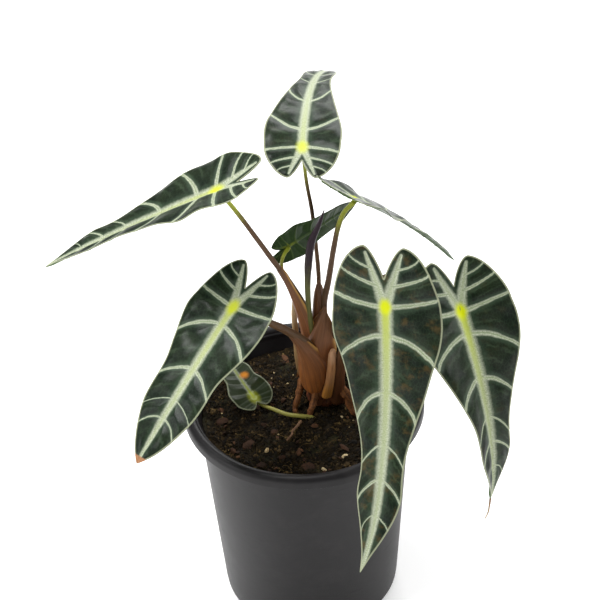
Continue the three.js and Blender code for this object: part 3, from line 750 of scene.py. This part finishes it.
def finish_blade(name, leaf, number, material, share, up, halves):
    """Both halves' faces and backs, and the rounded rim between them, as one closed mesh."""
    rows, columns = halves[0][1].shape[:2]
    normals = []
    for side, face, _, _ in halves:
        n = np.cross(np.gradient(face, axis=1) * side, np.gradient(face, axis=0))
        small = np.linalg.norm(n, axis=-1, keepdims=True) < 1e-9
        normals.append(unit(np.where(small, up[:, None], n)))
    seam = share >= -SINUS
    middle = unit(normals[0][:, 0] + normals[1][:, 0])
    for n in normals:
        n[seam, 0] = middle[seam]
        n[-1] = middle[-1]
        n[0] = unit(n[1].mean(0))
    tops, lows, rims = [], [], []
    for (_, face, under, fields), n in zip(halves, normals):
        thick = BLADE_THICK / 2 * (ease(fields["edge"] / 0.8) * 0.45 + 0.55)
        tops.append(face + n * thick[..., None])
        lows.append(face - n * (thick + under)[..., None])
        outward = unit(face[:, -1] - face[:, -2]) * BLADE_THICK * 0.3
        outward[[0, -1]] = 0
        rims.append(face[:, -1] + outward)
    for skins in (tops, lows):
        skins[1][seam, 0] = skins[0][seam, 0]
        for skin in skins:
            skin[0], skin[-1] = skin[0, 0], skins[0][-1, 0]
    rims[1][-1] = rims[0][-1]
    points, faces, values, first = [], [], [], 0
    count = rows * columns
    for (side, _, _, fields), top, low, edge_line in zip(halves, tops, lows, rims):
        flip = side < 0
        faces.append(grid_faces(rows, columns, first, flip=flip))
        faces.append(grid_faces(rows, columns, first + count, flip=not flip))
        rim = first + 2 * count + np.arange(rows)
        outer = first + np.arange(rows) * columns + columns - 1
        faces += [ladder(outer, rim, flip), ladder(rim, outer + count, flip)]
        open_rows = np.flatnonzero(~seam)
        last = open_rows[-1] + 2
        inner = first + np.arange(last) * columns
        faces.append(ladder(inner, inner + count, not flip))
        end = np.array([[first, first + count, first + 2 * count]])
        faces.append(end[:, ::-1] if flip else end)
        points += [top.reshape(-1, 3), low.reshape(-1, 3), edge_line]
        wide = {k: v.reshape(count, *v.shape[2:]) for k, v in fields.items()}
        last_column = {k: v[:, -1] for k, v in fields.items()}
        two = {k: np.concatenate([wide[k], wide[k], last_column[k]]) for k in fields}
        two["upper"] = np.concatenate([np.ones(count), np.zeros(count), np.full(rows, 0.5)])
        values.append(two)
        first += 2 * count + rows
    v = {k: np.concatenate([a[k] for a in values]) for k in values[0]}
    x, y = v.pop("x"), v.pop("y")
    v["growth"] = np.stack([x / 10, y / 10, np.full_like(x, LEAVES_APART * number)], 1)
    v["freckle"] = np.full_like(x, leaf.freckle)
    v["dry"] = leaf.dry * ease((y / leaf.length - 0.93) / 0.05)
    v["plain"] = np.full_like(x, leaf.plain)
    v["yellow"] = np.full_like(x, leaf.yellow)
    at = CROWN + np.concatenate(points) * MM
    faces = np.concatenate(faces)
    return piece("leaf_blade_" + name, at, faces, v, material, "leaf_blade", "blade_" + name)


# ---- Stalks, roots, corm ----
def stalk_line(leaf):
    """The stalk's points, ending just under the blade's knot."""
    centre, _, _, up = blade_frame(leaf, np.array([0.0]))
    return [*leaf.stalk, tuple(centre[0] - up[0] * (leaf.radii[2] * 0.6 + BLADE_THICK))]


def grown_tube(name, path, radius, material, slot, node, sides=28):
    """A swept tube in mm from the crown. Its growth counts cm along it and, for fine lines, steps
    of 3 mm round it."""
    points, faces, share, turn = swept(path, radius, sides)
    length = np.linalg.norm(np.diff(path, axis=0), axis=1).sum()
    mean = float(radius(np.array([[0.5]]), np.array([[0.0]]))[0, 0])
    across, beside = (wave(turn) * mean / 3 for wave in (np.cos, np.sin))
    values = {"share": share, "growth": np.stack([across, share * length / 10, beside], 1)}
    return piece(name, CROWN + points * MM, faces, values, material, slot, *node)


def sheath(name, path, radii, spread, facing, material, rows=70, columns=44):
    """A clasping sheath: a thin sheet bent round the path, as far as the spread to each side of
    the way it faces, its margins flared and thin. Radius and spread follow stations of the share
    of the way up; at both ends the two skins of the sheet meet."""
    line = smooth_path(path, rows)
    way = unit(np.gradient(line, axis=0))
    front = np.array([math.cos(math.radians(facing)), math.sin(math.radians(facing)), 0])
    a = unit(front - way * (way @ front)[:, None])
    b = np.cross(way, a)
    s = np.linspace(0, 1, rows)[:, None] * np.ones(columns)
    k = np.linspace(-1, 1, columns) * np.ones((rows, 1))
    turn = k * np.radians(through(spread, s))
    wave = (0.10 * np.abs(k) ** 5 + 0.03 * np.sin(s * 17 + 3 * k) * k**2) * ease((0.92 - s) * 4)
    r = through(radii, s) * (1 + wave) + 0.12 * np.sin(turn * 9 + s * 4)
    thick = (0.16 + 0.75 * (1 - k**4)) * np.sqrt(np.clip(np.minimum(s, 1 - s) * 14, 0, 1))

    def skin(radius):
        ring = a[:, None] * np.cos(turn)[..., None] + b[:, None] * np.sin(turn)[..., None]
        return line[:, None] + ring * radius[..., None]

    points = np.concatenate([skin(r), skin(r - thick)[:, ::-1]], 1)
    share, across = np.concatenate([s, s], 1), np.concatenate([k, k], 1)
    around = np.concatenate([turn, turn[:, ::-1]], 1)
    grown = np.stack([around * 0.9, share * 5, around * 0], -1).reshape(-1, 3)
    values = {"share": share.ravel(), "rim": np.abs(across).ravel(), "growth": grown}
    at = CROWN + points.reshape(-1, 3) * MM
    faces = grid_faces(rows, 2 * columns, ring=True)
    return piece("sheath_" + name, at, faces, values, material, "leaf_stalk")


def stalk(name, leaf, material, slot):
    """A stalk: a tapered tube with a shallow channel up one side. Below the collar it is wider and
    drawn out a little on each side of the channel, less and less as it rises; where a broad sheath
    clasps it, it stays slim. The top swells a little under the blade."""
    foot, collar, top = leaf.radii
    if name in SHEATHS:
        foot = collar * 1.15
    path = smooth_path(stalk_line(leaf), 130)

    def radius(share, turn):
        above = np.clip((share - leaf.sheath) / (1 - leaf.sheath), 0, 1)
        below = ease(share / leaf.sheath)
        r = np.where(share > leaf.sheath, mix(collar, top, above), mix(foot, collar, below))
        wing = 1 + 0.16 * (1 - below) * (np.abs(np.cos(turn)) ** 8)
        channel = 1 - 0.10 * np.exp(-((np.angle(np.exp(1j * (turn - 1.57))) / 0.45) ** 2))
        swell = 1 + 0.35 * ease((share - 0.965) / 0.035) * (1 - ease((share - 0.985) / 0.015))
        knobs = 1 + 0.02 * np.sin(share * 60 + 2 * np.sin(turn))
        return r * wing * channel * swell * knobs

    return grown_tube("leaf_stalk_" + name, path, radius, material, slot, ["stalk_" + name])


# The broad clasping sheaths: path, [share, radius], [share, spread to each side], facing.
SHEATHS = {
    "lower_left": (
        [(-4.2, -3, 10), (-4.6, -3.8, 20), (-5.5, -6, 32), (-9, -10, 44), (-16, -14, 58)],
        [[0, 5.4], [0.08, 7.2], [0.25, 8.3], [0.45, 7.7], [0.65, 5.2], [0.84, 2.9], [1, 2.1]],
        [[0, 168], [0.25, 150], [0.5, 128], [0.7, 112], [0.85, 140], [1, 180]], 240,
    ),
    "right": (
        [(-0.2, -1.8, 10), (-0.8, -2, 22), (-1, -2.2, 34), (0.2, -2.4, 46), (2.2, -2.2, 56),
         (3.4, -1.6, 66)],
        [[0, 4.8], [0.08, 6.2], [0.3, 7.2], [0.6, 8.2], [0.8, 5.6], [0.93, 2.8], [1, 1.7]],
        [[0, 165], [0.3, 140], [0.5, 110], [0.65, 88], [0.85, 80], [1, 20]], 235,
    ),
    "upper_left": (
        [(-3.6, -0.6, 10), (-4.6, -0.6, 28), (-6, -0.8, 48), (-11, -2, 70), (-16, -3.4, 84),
         (-20.5, -4.6, 94)],
        [[0, 4.2], [0.1, 5.0], [0.4, 4.8], [0.65, 3.8], [0.85, 2.4], [1, 1.6]],
        [[0, 165], [0.3, 150], [0.6, 130], [0.85, 125], [1, 175]], 190,
    ),
    "top": (
        [(0, 2, 10), (0, 2.4, 30), (-0.4, 3, 50), (-0.4, 3.2, 66), (0.3, 3.8, 79)],
        [[0, 3.8], [0.1, 4.4], [0.5, 4.2], [0.8, 3.0], [0.94, 2.0], [1, 1.4]],
        [[0, 165], [0.4, 135], [0.7, 105], [0.9, 85], [1, 20]], 262,
    ),
}
NEW_LEAF = [(-3, -3, 2), (-4, -4, 30), (-6, -4, 64), (-6, -4, 84), (-5, -3, 97), (-3, -3, 109),
            (1, -3, 119), (4, -3, 128)]
NEW_LEAF_RADII = [[0, 2.4], [0.5, 1.5], [0.62, 1.6], [0.76, 2.1], [0.87, 1.7], [0.95, 0.9],
                  [1, 0.25]]
OLD_STALK = [(-8, 8, 1), (-12, 8, 16), (-13.6, 8, 38), (-14.2, 8.5, 61)]
OLD_STALK_RADII = [[0, 2.4], [0.4, 1.8], [0.85, 1.4], [1, 0.4]]
STUB = [(1.4, -7.5, 9), (3.2, -10, 19), (4.8, -11.5, 32), (5.6, -11.5, 43)]
TIP_THREAD = np.array([[0, 0, 1.2], [-0.4, 0, -4], [-1.0, -0.2, -9], [-2.6, -0.4, -13.5]])
ROOTS = {
    "left": ([(-5, 1, 15), (-12, -2, 12), (-15, -9, 5), (-16, -13, -4)], (2.4, 1.2)),
    "front": ([(-2, -5, 12), (-6, -11, 7), (-9, -16, 2), (-10, -19, -4)], (2.2, 1.2)),
    "right": ([(5, -4, 15), (11, -8, 11), (15, -12, 4), (18, -16, -4)], (3.2, 1.6)),
    "far": ([(5, 5, 13), (11, 11, 9), (14, 16, 2), (15, 19, -4)], (2.4, 1.3)),
    "behind": ([(-5, 6, 12), (-9, 13, 8), (-12, 18, 2), (-13, 21, -4)], (2.2, 1.2)),
}
SURFACE_ROOT = [(-13, -20, 1.2), (-16, -25, 2), (-18, -30, 1.5), (-20, -35, 1.8)]


def rolled_radius(share, turn):
    """The rolled blade: its skin is a spiral, so the radius steps at the outer edge's seam, which
    winds about once round it on the way up."""
    r = np.maximum(0.1, through(NEW_LEAF_RADII, share))
    seam = np.mod(turn + share * 7.0, 2 * np.pi) / (2 * np.pi)
    rolled = ease((share - 0.6) / 0.1)
    return r * (1 + rolled * (0.16 * seam - 0.08)) * (1 + 0.03 * rolled * np.sin(share * 55))


def stub_radius(share, turn):
    taper = np.interp(share, [0, 0.3, 0.9, 1], [3.4, 2.5, 2.2, 1.2])
    return taper * (1 + 0.05 * np.sin(3 * turn + 5 * share))


def old_radius(share, turn):
    shrivelled = 1 + 0.12 * np.sin(3 * turn + 9 * share)
    return np.maximum(0.1, through(OLD_STALK_RADII, share)) * shrivelled


def thread_radius(share, turn):
    return 0.55 - 0.30 * share + 0 * turn


def corm_piece(material):
    """The corm: a turned bulb, its radius the sine of the way up, ringed by old leaf scars."""
    rows, sides = 60, 72
    u = np.linspace(0, 1, rows)[:, None] * np.ones(sides)
    turn = turns(sides) * np.ones((rows, 1))
    broad = (corm_high[0] - corm_low[0]) / 2
    z = mix(corm_low[2], corm_high[2], (1 - np.cos(np.pi * u)) / 2)
    scars = 0.05 * np.sin(u * 40 + 1.4 * np.sin(turn * 2)) + 0.04 * np.sin(turn * 7 + u * 9)
    r = broad * np.sin(np.pi * u) ** 0.8 * (1 + scars * np.sin(np.pi * u))
    points = (upright(r, turn, z) + [*CROWN[:2], 0]).reshape(-1, 3)
    grown = 3 * np.stack([np.cos(turn), u, np.sin(turn)], -1).reshape(-1, 3)
    faces = grid_faces(rows, sides, ring=True)
    return piece("corm_bulb", points, faces, {"growth": grown}, material, "corm", "corm")


def root_piece(name, points, radii, material, slot, seed):
    """A root: a tapering tube with knobs, wandering a little once it has left the corm."""
    rows = 50
    path = smooth_path(points, rows)
    wander = np.stack([rumple(path, 9, seed + k) for k in range(3)], 1)
    path = path + 0.5 * wander * ease(np.linspace(0, 1, rows) * 4)[:, None]

    def radius(share, turn):
        knobs = 0.08 * np.sin(share * 31 + seed) + 0.08 * np.sin(turn * 3 + share * 20)
        return mix(radii[0], radii[1], share) * (1 + knobs)

    return grown_tube("prop_root_" + name, path, radius, material, slot, ["root_" + name], sides=20)


# ---- Pot and mix ----
MIX_CLEAR = 53.5  # the radius within which loose mix lies clear of the pot's wall


def pot_piece(material):
    """The pot: a profile turned about the axis, with the drain holes cut through its floor midway
    between the middle pad and the foot ring."""
    height = pot_high[2] / MM
    rim = pot_high[0] / MM
    rim_depth, neck_r, foot_r, wall, floor, flare = 7, 57.5, 49, 1.4, 4, 3
    channel, pad, foot_w, edge = 2.5, 17, 7, 1.5
    holes, hole_r = 8, 4.5
    heel_r, roll_r, mouth_r = 2.6, 3.2, 2.4
    neck = height - rim_depth

    def outer(z):
        return mix(foot_r, neck_r, z / neck)

    def corner(r, x, z, out, rise):
        quarter = np.linspace(0, np.pi / 2, 7)
        return [(x + out * r * math.sin(a), z + rise * r * math.cos(a)) for a in quarter]

    mouth = outer(neck) - wall + flare
    shelf = height - wall - 1
    ring, skirt = foot_r - foot_w, rim - wall
    profile = [(0, 0), (pad - 0.4, 0), (pad, 0.2), (pad + edge, channel)]
    profile += [(ring - edge, channel), (ring - 0.2, 0.2), (ring + 0.2, 0)]
    profile += corner(heel_r, foot_r - heel_r, heel_r, 1, -1)
    profile += [(outer(z), z) for z in np.linspace(6, neck, 14)]
    profile += [(neck_r + 0.5, shelf - 0.4), (neck_r + 0.9, shelf), (skirt - 0.4, shelf)]
    profile += [(skirt, shelf - 0.4), (skirt, neck + 0.3), (skirt + 0.3, neck)]
    profile += [(rim - 0.35, neck), (rim, neck + 0.35)]
    profile += corner(roll_r, rim - roll_r, height - roll_r, 1, 1)[::-1]
    profile += corner(mouth_r, mouth + mouth_r, height - mouth_r, -1, 1)
    profile += [(outer(z) - wall, z) for z in np.linspace(neck - edge, floor + edge, 10)]
    profile += [(outer(floor) - wall - edge, floor), (0, floor)]
    p = np.array(profile)
    sides = 180
    points = upright(p[:, :1], turns(sides), p[:, 1:]).reshape(-1, 3) * MM
    faces = grid_faces(len(p), sides, ring=True)
    made = piece("pot_shell", points, faces, {}, material, "pot", "nursery_pot")
    centres = upright((pad + ring) / 2, turns(holes) + np.pi / holes, 0)[:, :2]
    drill(made, centres, hole_r, -2, floor + 2)
    made.data.set_sharp_from_angle(angle=math.radians(35))


def drill(thing, centres, radius, low, high):
    """Upright round holes cut through a piece from the height low to high, in mm."""
    sides = 40
    middle = np.repeat(centres[:, None], sides, 1)
    ring = middle + upright(radius, turns(sides), 0)[:, :2]
    rows = [(middle, low), (ring, low), (ring, high), (middle, high)]
    points = np.stack([np.dstack([flat, np.full(flat.shape[:2], z)]) for flat, z in rows], 1)
    one = grid_faces(len(rows), sides, ring=True)
    faces = repeated(one, len(centres), len(rows) * sides)
    points, faces, _ = welded(points.reshape(-1, 3) * MM, faces, {})
    mesh = bpy.data.meshes.new("drill")
    mesh.from_pydata(points.tolist(), [], faces.tolist())
    bit = bpy.data.objects.new("drill", mesh)
    bpy.context.collection.objects.link(bit)
    cut = thing.modifiers.new("drill", "BOOLEAN")
    cut.operation, cut.solver, cut.object = "DIFFERENCE", "EXACT", bit
    bpy.context.view_layer.update()
    drilled = thing.evaluated_get(bpy.context.evaluated_depsgraph_get())
    mesh = bpy.data.meshes.new_from_object(drilled)
    thing.modifiers.remove(cut)
    thing.data = mesh
    bpy.data.objects.remove(bit)


def loose_shapes(count, corners, rng):
    """Irregular lumps: points spread evenly over a ball, each in or out by up to a quarter, and
    the hull of the even ball's points. Gives (count, corners, 3) points and the triangles."""
    i = np.arange(corners) + 0.5
    z = 1 - 2 * i / corners
    turn = np.pi * (1 + 5**0.5) * i
    ball = upright(np.sqrt(1 - z * z), turn, z)
    hull = bmesh.new()
    for p in ball:
        hull.verts.new(p)
    hull.verts.ensure_lookup_table()
    bmesh.ops.convex_hull(hull, input=hull.verts)
    hull.verts.index_update()
    hull.normal_update()
    faces = np.array([[v.index for v in f.verts] for f in hull.faces])
    hull.free()
    return ball * rng.uniform(0.72, 1.12, (count, corners, 1)), faces


def swing(u, v, angle):
    """Two coordinates of each lump, turned by the lump's own angle."""
    c, s = np.cos(angle)[:, None], np.sin(angle)[:, None]
    return u * c - v * s, u * s + v * c


def scatter(name, places, sizes, flatness, corners, material, slot, nodes, tilt=0.5, sink=0.0):
    """Loose lumps at the places (metres): each of its own length, width and thickness in mm, turned
    anyhow about the upright and tilted a little, with its own tone."""
    count = len(places)
    shapes, hull = loose_shapes(count, corners, RNG)
    width = sizes * RNG.uniform(0.45, 0.9, count)
    thick = sizes * flatness * RNG.uniform(0.6, 1.2, count)
    shapes = shapes * np.stack([sizes, width, thick], 1)[:, None] * MM / 2
    heading = RNG.uniform(0, 2 * np.pi, count)
    roll, pitch = RNG.normal(0, tilt, count), RNG.normal(0, tilt, count)
    x, y, z = shapes[..., 0], shapes[..., 1], shapes[..., 2]
    y, z = swing(y, z, roll)
    z, x = swing(z, x, pitch)
    x, y = swing(x, y, heading)
    points = np.stack([x, y, z], -1) + places[:, None]
    points[..., 2] -= sink * thick[:, None] * MM
    faces = repeated(hull, count, corners)
    tone = np.repeat(RNG.uniform(0, 1, count), corners)
    return piece(name, points.reshape(-1, 3), faces, {"tone": tone}, material, slot, *nodes,
                 smooth=False, weld=False)


def chips(name, kind, count, length, more, inner, outer, small, material, flatness, corners, lift,
          tilt):
    """The CAD's bits of that kind, each at its place and of one length, and more bits beside them
    of random lengths between the two small ones."""
    nodes = ["%s_%d" % (kind, i + 1) for i in range(count)]
    at = np.array([np.add(*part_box(n)) / 2 for n in nodes])
    places = np.concatenate([at, on_mix(more, inner, outer, lift)])
    sizes = np.concatenate([np.full(count, length), RNG.uniform(*small, more)])
    return scatter(name, places, sizes, flatness, corners, material, kind, nodes, tilt)


def mix_height(x, y):
    """The mix's top in metres: two crossing swells, then lumps and crumbs of noise."""
    swell = 0.9 * (np.sin(x / 7 + 1) * np.cos(y / 9) + 0.4 * np.sin((x + y) / 4))
    p = np.stack([x, y], -1)
    lumps = 0.7 * np.abs(rumple(p, 7, 3)) + 0.45 * np.abs(rumple(p, 3.2, 4))
    lumps = lumps + 0.22 * rumple(p, 1.6, 6)
    return CROWN[2] + (swell + lumps - 0.6) * MM


def mix_piece(material):
    """The mix: its top a polar grid of mix_height, its side and underside as the pot's inside."""
    rings, sides = 110, 360
    low_r, brim = 46.5, mix_high[0] / MM
    r = np.linspace(0, 1, rings)[:, None] ** 0.7 * brim * np.ones(sides)
    top = upright(r, turns(sides), 0)
    top[..., 2] = mix_height(top[..., 0], top[..., 1]) / MM
    low = mix_low[2] / MM
    side = [(brim - 0.6, CROWN[2] / MM - 6), (low_r + 1.5, low + 6), (low_r - 1, low), (0, low)]
    points = np.concatenate([top, [upright(r, turns(sides), z) for r, z in side]])
    faces = grid_faces(len(points), sides, ring=True, flip=True)
    at = points.reshape(-1, 3) * MM
    return piece("mix_body", at, faces, {}, material, "potting_mix", "potting_mix")


def on_mix(count, inner, outer, lift=0.0):
    """Random places on the mix between two radii in mm, and that much above it."""
    turn = RNG.uniform(0, 2 * np.pi, count)
    r = np.sqrt(RNG.uniform(inner**2, outer**2, count))
    x, y = r * np.cos(turn), r * np.sin(turn)
    return np.stack([x * MM, y * MM, mix_height(x, y) + lift * MM], 1)


def fibres(material, count):
    """Coir fibres: thin square tubes along random arcs that lie on the mix."""
    steps, sides = 9, 4
    start = on_mix(count, 0, 50)
    heading, bend = RNG.uniform(0, 2 * np.pi, count), RNG.normal(0, 1.1, count)
    length = RNG.uniform(4, 15, count) * MM
    t = np.linspace(0, 1, steps)
    turn = heading[:, None] + bend[:, None] * t
    x = start[:, :1] + np.cumsum(np.cos(turn), 1) * (length / steps)[:, None]
    y = start[:, 1:2] + np.cumsum(np.sin(turn), 1) * (length / steps)[:, None]
    keep = np.hypot(x, y).max(1) < MIX_CLEAR * MM
    x, y, turn = x[keep], y[keep], turn[keep]
    count = len(x)
    arch = np.sin(np.pi * t) * RNG.uniform(0.2, 1.6, count)[:, None] * MM
    ground = mix_height(x / MM, y / MM)
    z = ground * 0.5 + ground.max(1, keepdims=True) * 0.5 + arch
    thick = (RNG.uniform(0.10, 0.26, count) * MM)[:, None] * (1 - 0.6 * t)
    line = np.stack([x, y, z], -1)
    side = np.stack([-np.sin(turn), np.cos(turn), 0 * turn], -1)
    up = np.array([0, 0, 1.0])
    thick = thick[..., None]
    tube = np.stack([line + side * thick * math.cos(a) + up * thick * math.sin(a)
                     for a in turns(sides)], 2)
    ends = line[:, :, None].repeat(sides, 2)
    points = np.concatenate([ends[:, :1], tube, ends[:, -1:]], 1)
    rows = steps + 2
    faces = repeated(grid_faces(rows, sides, ring=True), count, rows * sides)
    tone = {"tone": np.repeat(RNG.uniform(0, 1, count), rows * sides)}
    at = points.reshape(-1, 3)
    return piece("mix_fibres", at, faces, tone, material, "potting_mix", smooth=False)


# ---- Assembly ----
leaf_skin = leaf_finish()
stalk_skin, pale_stalk, dry_stalk, rolled_skin, stub_skin = (
    stalk_finish(name, *look) for name, *look in (
        ("leaf stalk", (0.115, 0.040, 0.016), (0.110, 0.058, 0.027), (0.30, 0.33, 0.030), 0.8),
        ("seedling stalk", (0.24, 0.22, 0.05), (0.30, 0.28, 0.06), (0.26, 0.28, 0.05), 0.8),
        ("old stalk", (0.20, 0.100, 0.040), (0.34, 0.21, 0.095), (0.46, 0.33, 0.19), 0.7),
        ("rolled new leaf", (0.20, 0.090, 0.025), (0.12, 0.12, 0.030), (0.014, 0.004, 0.010), 0.6),
        ("stalk stub", (0.46, 0.19, 0.035), (0.42, 0.20, 0.085), (0.44, 0.24, 0.130), 0.7),
    )
)
sheath_skin = sheath_finish()
root_skin = root_finish("prop root", (0.052, 0.018, 0.006), (0.215, 0.080, 0.022))
fine_root_skin = root_finish("fine root", (0.12, 0.060, 0.032), (0.24, 0.140, 0.080))
corm_skin = root_finish("corm", (0.030, 0.010, 0.005), (0.15, 0.045, 0.015))

for number, (name, leaf) in enumerate(LEAVES.items()):
    blade(name, leaf, number, leaf_skin)
    if name == "seedling":
        stalk(name, leaf, pale_stalk, "seedling_stalk")
    else:
        stalk(name, leaf, stalk_skin, "leaf_stalk")
for name, growth in SHEATHS.items():
    sheath(name, *growth, sheath_skin)
tip = blade_frame(LEAVES["right"], np.array([1.0]))[0][0]
for name, path, rows, radius, skin, slot, nodes, sides in (
    ("old_stalk_stub", STUB, 50, stub_radius, stub_skin, "old_stalk", [], 28),
    ("rolled_new_leaf", NEW_LEAF, 150, rolled_radius, rolled_skin, "new_leaf", ["new_leaf"], 48),
    ("old_dry_stalk", OLD_STALK, 60, old_radius, dry_stalk, "old_stalk", ["old_stalk"], 28),
    ("dry_tip_thread", tip + TIP_THREAD, 30, thread_radius, dry_stalk, "leaf_blade", [], 8),
):
    grown_tube(name, smooth_path(path, rows), radius, skin, slot, nodes, sides)
corm_piece(corm_skin)
for seed, (name, (points, radii)) in enumerate(ROOTS.items()):
    root_piece(name, points, radii, root_skin, "root", seed * 7)
root_piece("surface", SURFACE_ROOT, (0.8, 0.45), fine_root_skin, "fine_root", 50)

pot_piece(pot_finish())
mix_piece(mix_finish())
crumb_skin = crumb_finish("mix crumbs", [
    (0.20, (0.0025, 0.0017, 0.0008)), (0.42, (0.0075, 0.0048, 0.0018)),
    (0.58, (0.022, 0.013, 0.0045)), (0.72, (0.060, 0.037, 0.012)), (0.86, (0.19, 0.125, 0.048)),
])
bark_skin = crumb_finish("bark", [
    (0.15, (0.012, 0.006, 0.003)), (0.5, (0.045, 0.020, 0.010)), (0.85, (0.15, 0.070, 0.034)),
], 0.0012)
perlite_skin = crumb_finish("perlite", [(0.0, (0.34, 0.23, 0.10)), (1.0, (0.66, 0.53, 0.32))])
CRUMBS, FIBRES = 7500, 260
at = on_mix(CRUMBS, 0, MIX_CLEAR)
sizes = RNG.gamma(2.0, 0.55, CRUMBS) + 0.7
scatter("mix_crumbs", at, sizes, 0.6, 12, crumb_skin, "potting_mix", [], tilt=0.7, sink=0.15)
chips("bark_chips", "bark", 14, 8.5, 60, 12, 50, (2.5, 6.5), bark_skin, flatness=0.3, corners=18,
      lift=0.6, tilt=0.35)
chips("perlite_bits", "perlite", 4, 3.6, 12, 20, 52, (0.8, 2.0), perlite_skin, flatness=0.7,
      corners=22, lift=0.4, tilt=0.5)
fibres(crumb_skin, FIBRES)


# ---- Floor, light and camera ----
FAR, UNDER = 30, -0.0001  # how far the floor reaches, and how far under the pot it lies


def floor_finish():
    """Near white; beyond a metre or two, where the lamps no longer reach, it gives more light."""
    f = Finish("pale floor", Roughness=0.6, Emission_Strength=1.0)
    grain = f.noise(f.place(), 3, 2)
    glow = f.blend(f.length(f.place()).step(0.9, 2.4), (0.22, 0.22, 0.22), (0.60, 0.60, 0.60))
    white = f.blend(grain, (0.93, 0.93, 0.93), (0.96, 0.96, 0.96))
    return f.wire(Base_Color=white, Emission_Color=glow)


mesh = bpy.data.meshes.new("floor")
corners = [(x * FAR, y * FAR, UNDER) for x, y in ((-1, -1), (1, -1), (1, 1), (-1, 1))]
mesh.from_pydata(corners, [], [(0, 1, 2, 3)])
mesh.materials.append(floor_finish())
floor = bpy.data.objects.new("floor", mesh)
bpy.context.collection.objects.link(floor)


def standing(right, up, back, place):
    """The matrix of a thing at a place, from its own right, up and back directions."""
    return Matrix(np.vstack([np.column_stack([right, up, back, place]), [0, 0, 0, 1]]).tolist())


def softbox(name, place, target, size, power):
    lamp = bpy.data.lights.new(name, "AREA")
    lamp.shape, lamp.size, lamp.size_y = "RECTANGLE", size[0], size[1]
    lamp.energy = power
    thing = bpy.data.objects.new(name, lamp)
    bpy.context.collection.objects.link(thing)
    away = unit(np.array(place, float) - np.array(target, float))
    side = unit(np.cross([0, 0, 1], away))
    thing.matrix_world = standing(side, np.cross(away, side), away, place)


LIT = (0, 0, 0.15)  # the lamps point at the middle of the plant's foot
softbox("key", (-0.55, 0.25, 1.9), LIT, (0.8, 0.8), 36)
softbox("back", (0.5, 1.5, 1.1), LIT, (1.4, 0.8), 20)
softbox("left", (-1.5, -0.5, 0.9), LIT, (0.9, 0.9), 14)
softbox("right", (1.5, -0.5, 1.0), LIT, (0.9, 0.9), 14)
world = bpy.data.worlds.new("studio")
bpy.context.scene.world = world
world.use_nodes = True
sky = world.node_tree.nodes["Background"].inputs
sky["Color"].default_value = (1, 1, 1, 1)
sky["Strength"].default_value = 0.42
bpy.context.scene.view_settings.view_transform = "Standard"

camera_data = bpy.data.cameras.new("camera")
camera_data.lens, camera_data.sensor_width = 114.5, 36
camera = bpy.data.objects.new("camera", camera_data)
bpy.context.collection.objects.link(camera)
ELEVATION, TILT, DISTANCE = math.radians(38.42), math.radians(-2.77), 0.985
TARGET = np.array([0.0006, 0, 0.198])
back = np.array([0, -math.cos(ELEVATION), math.sin(ELEVATION)])
level = np.array([1.0, 0, 0])
right = level * math.cos(TILT) + np.cross(back, level) * math.sin(TILT)
camera.matrix_world = standing(right, np.cross(back, right), back, TARGET + back * DISTANCE)
bpy.context.scene.camera = camera
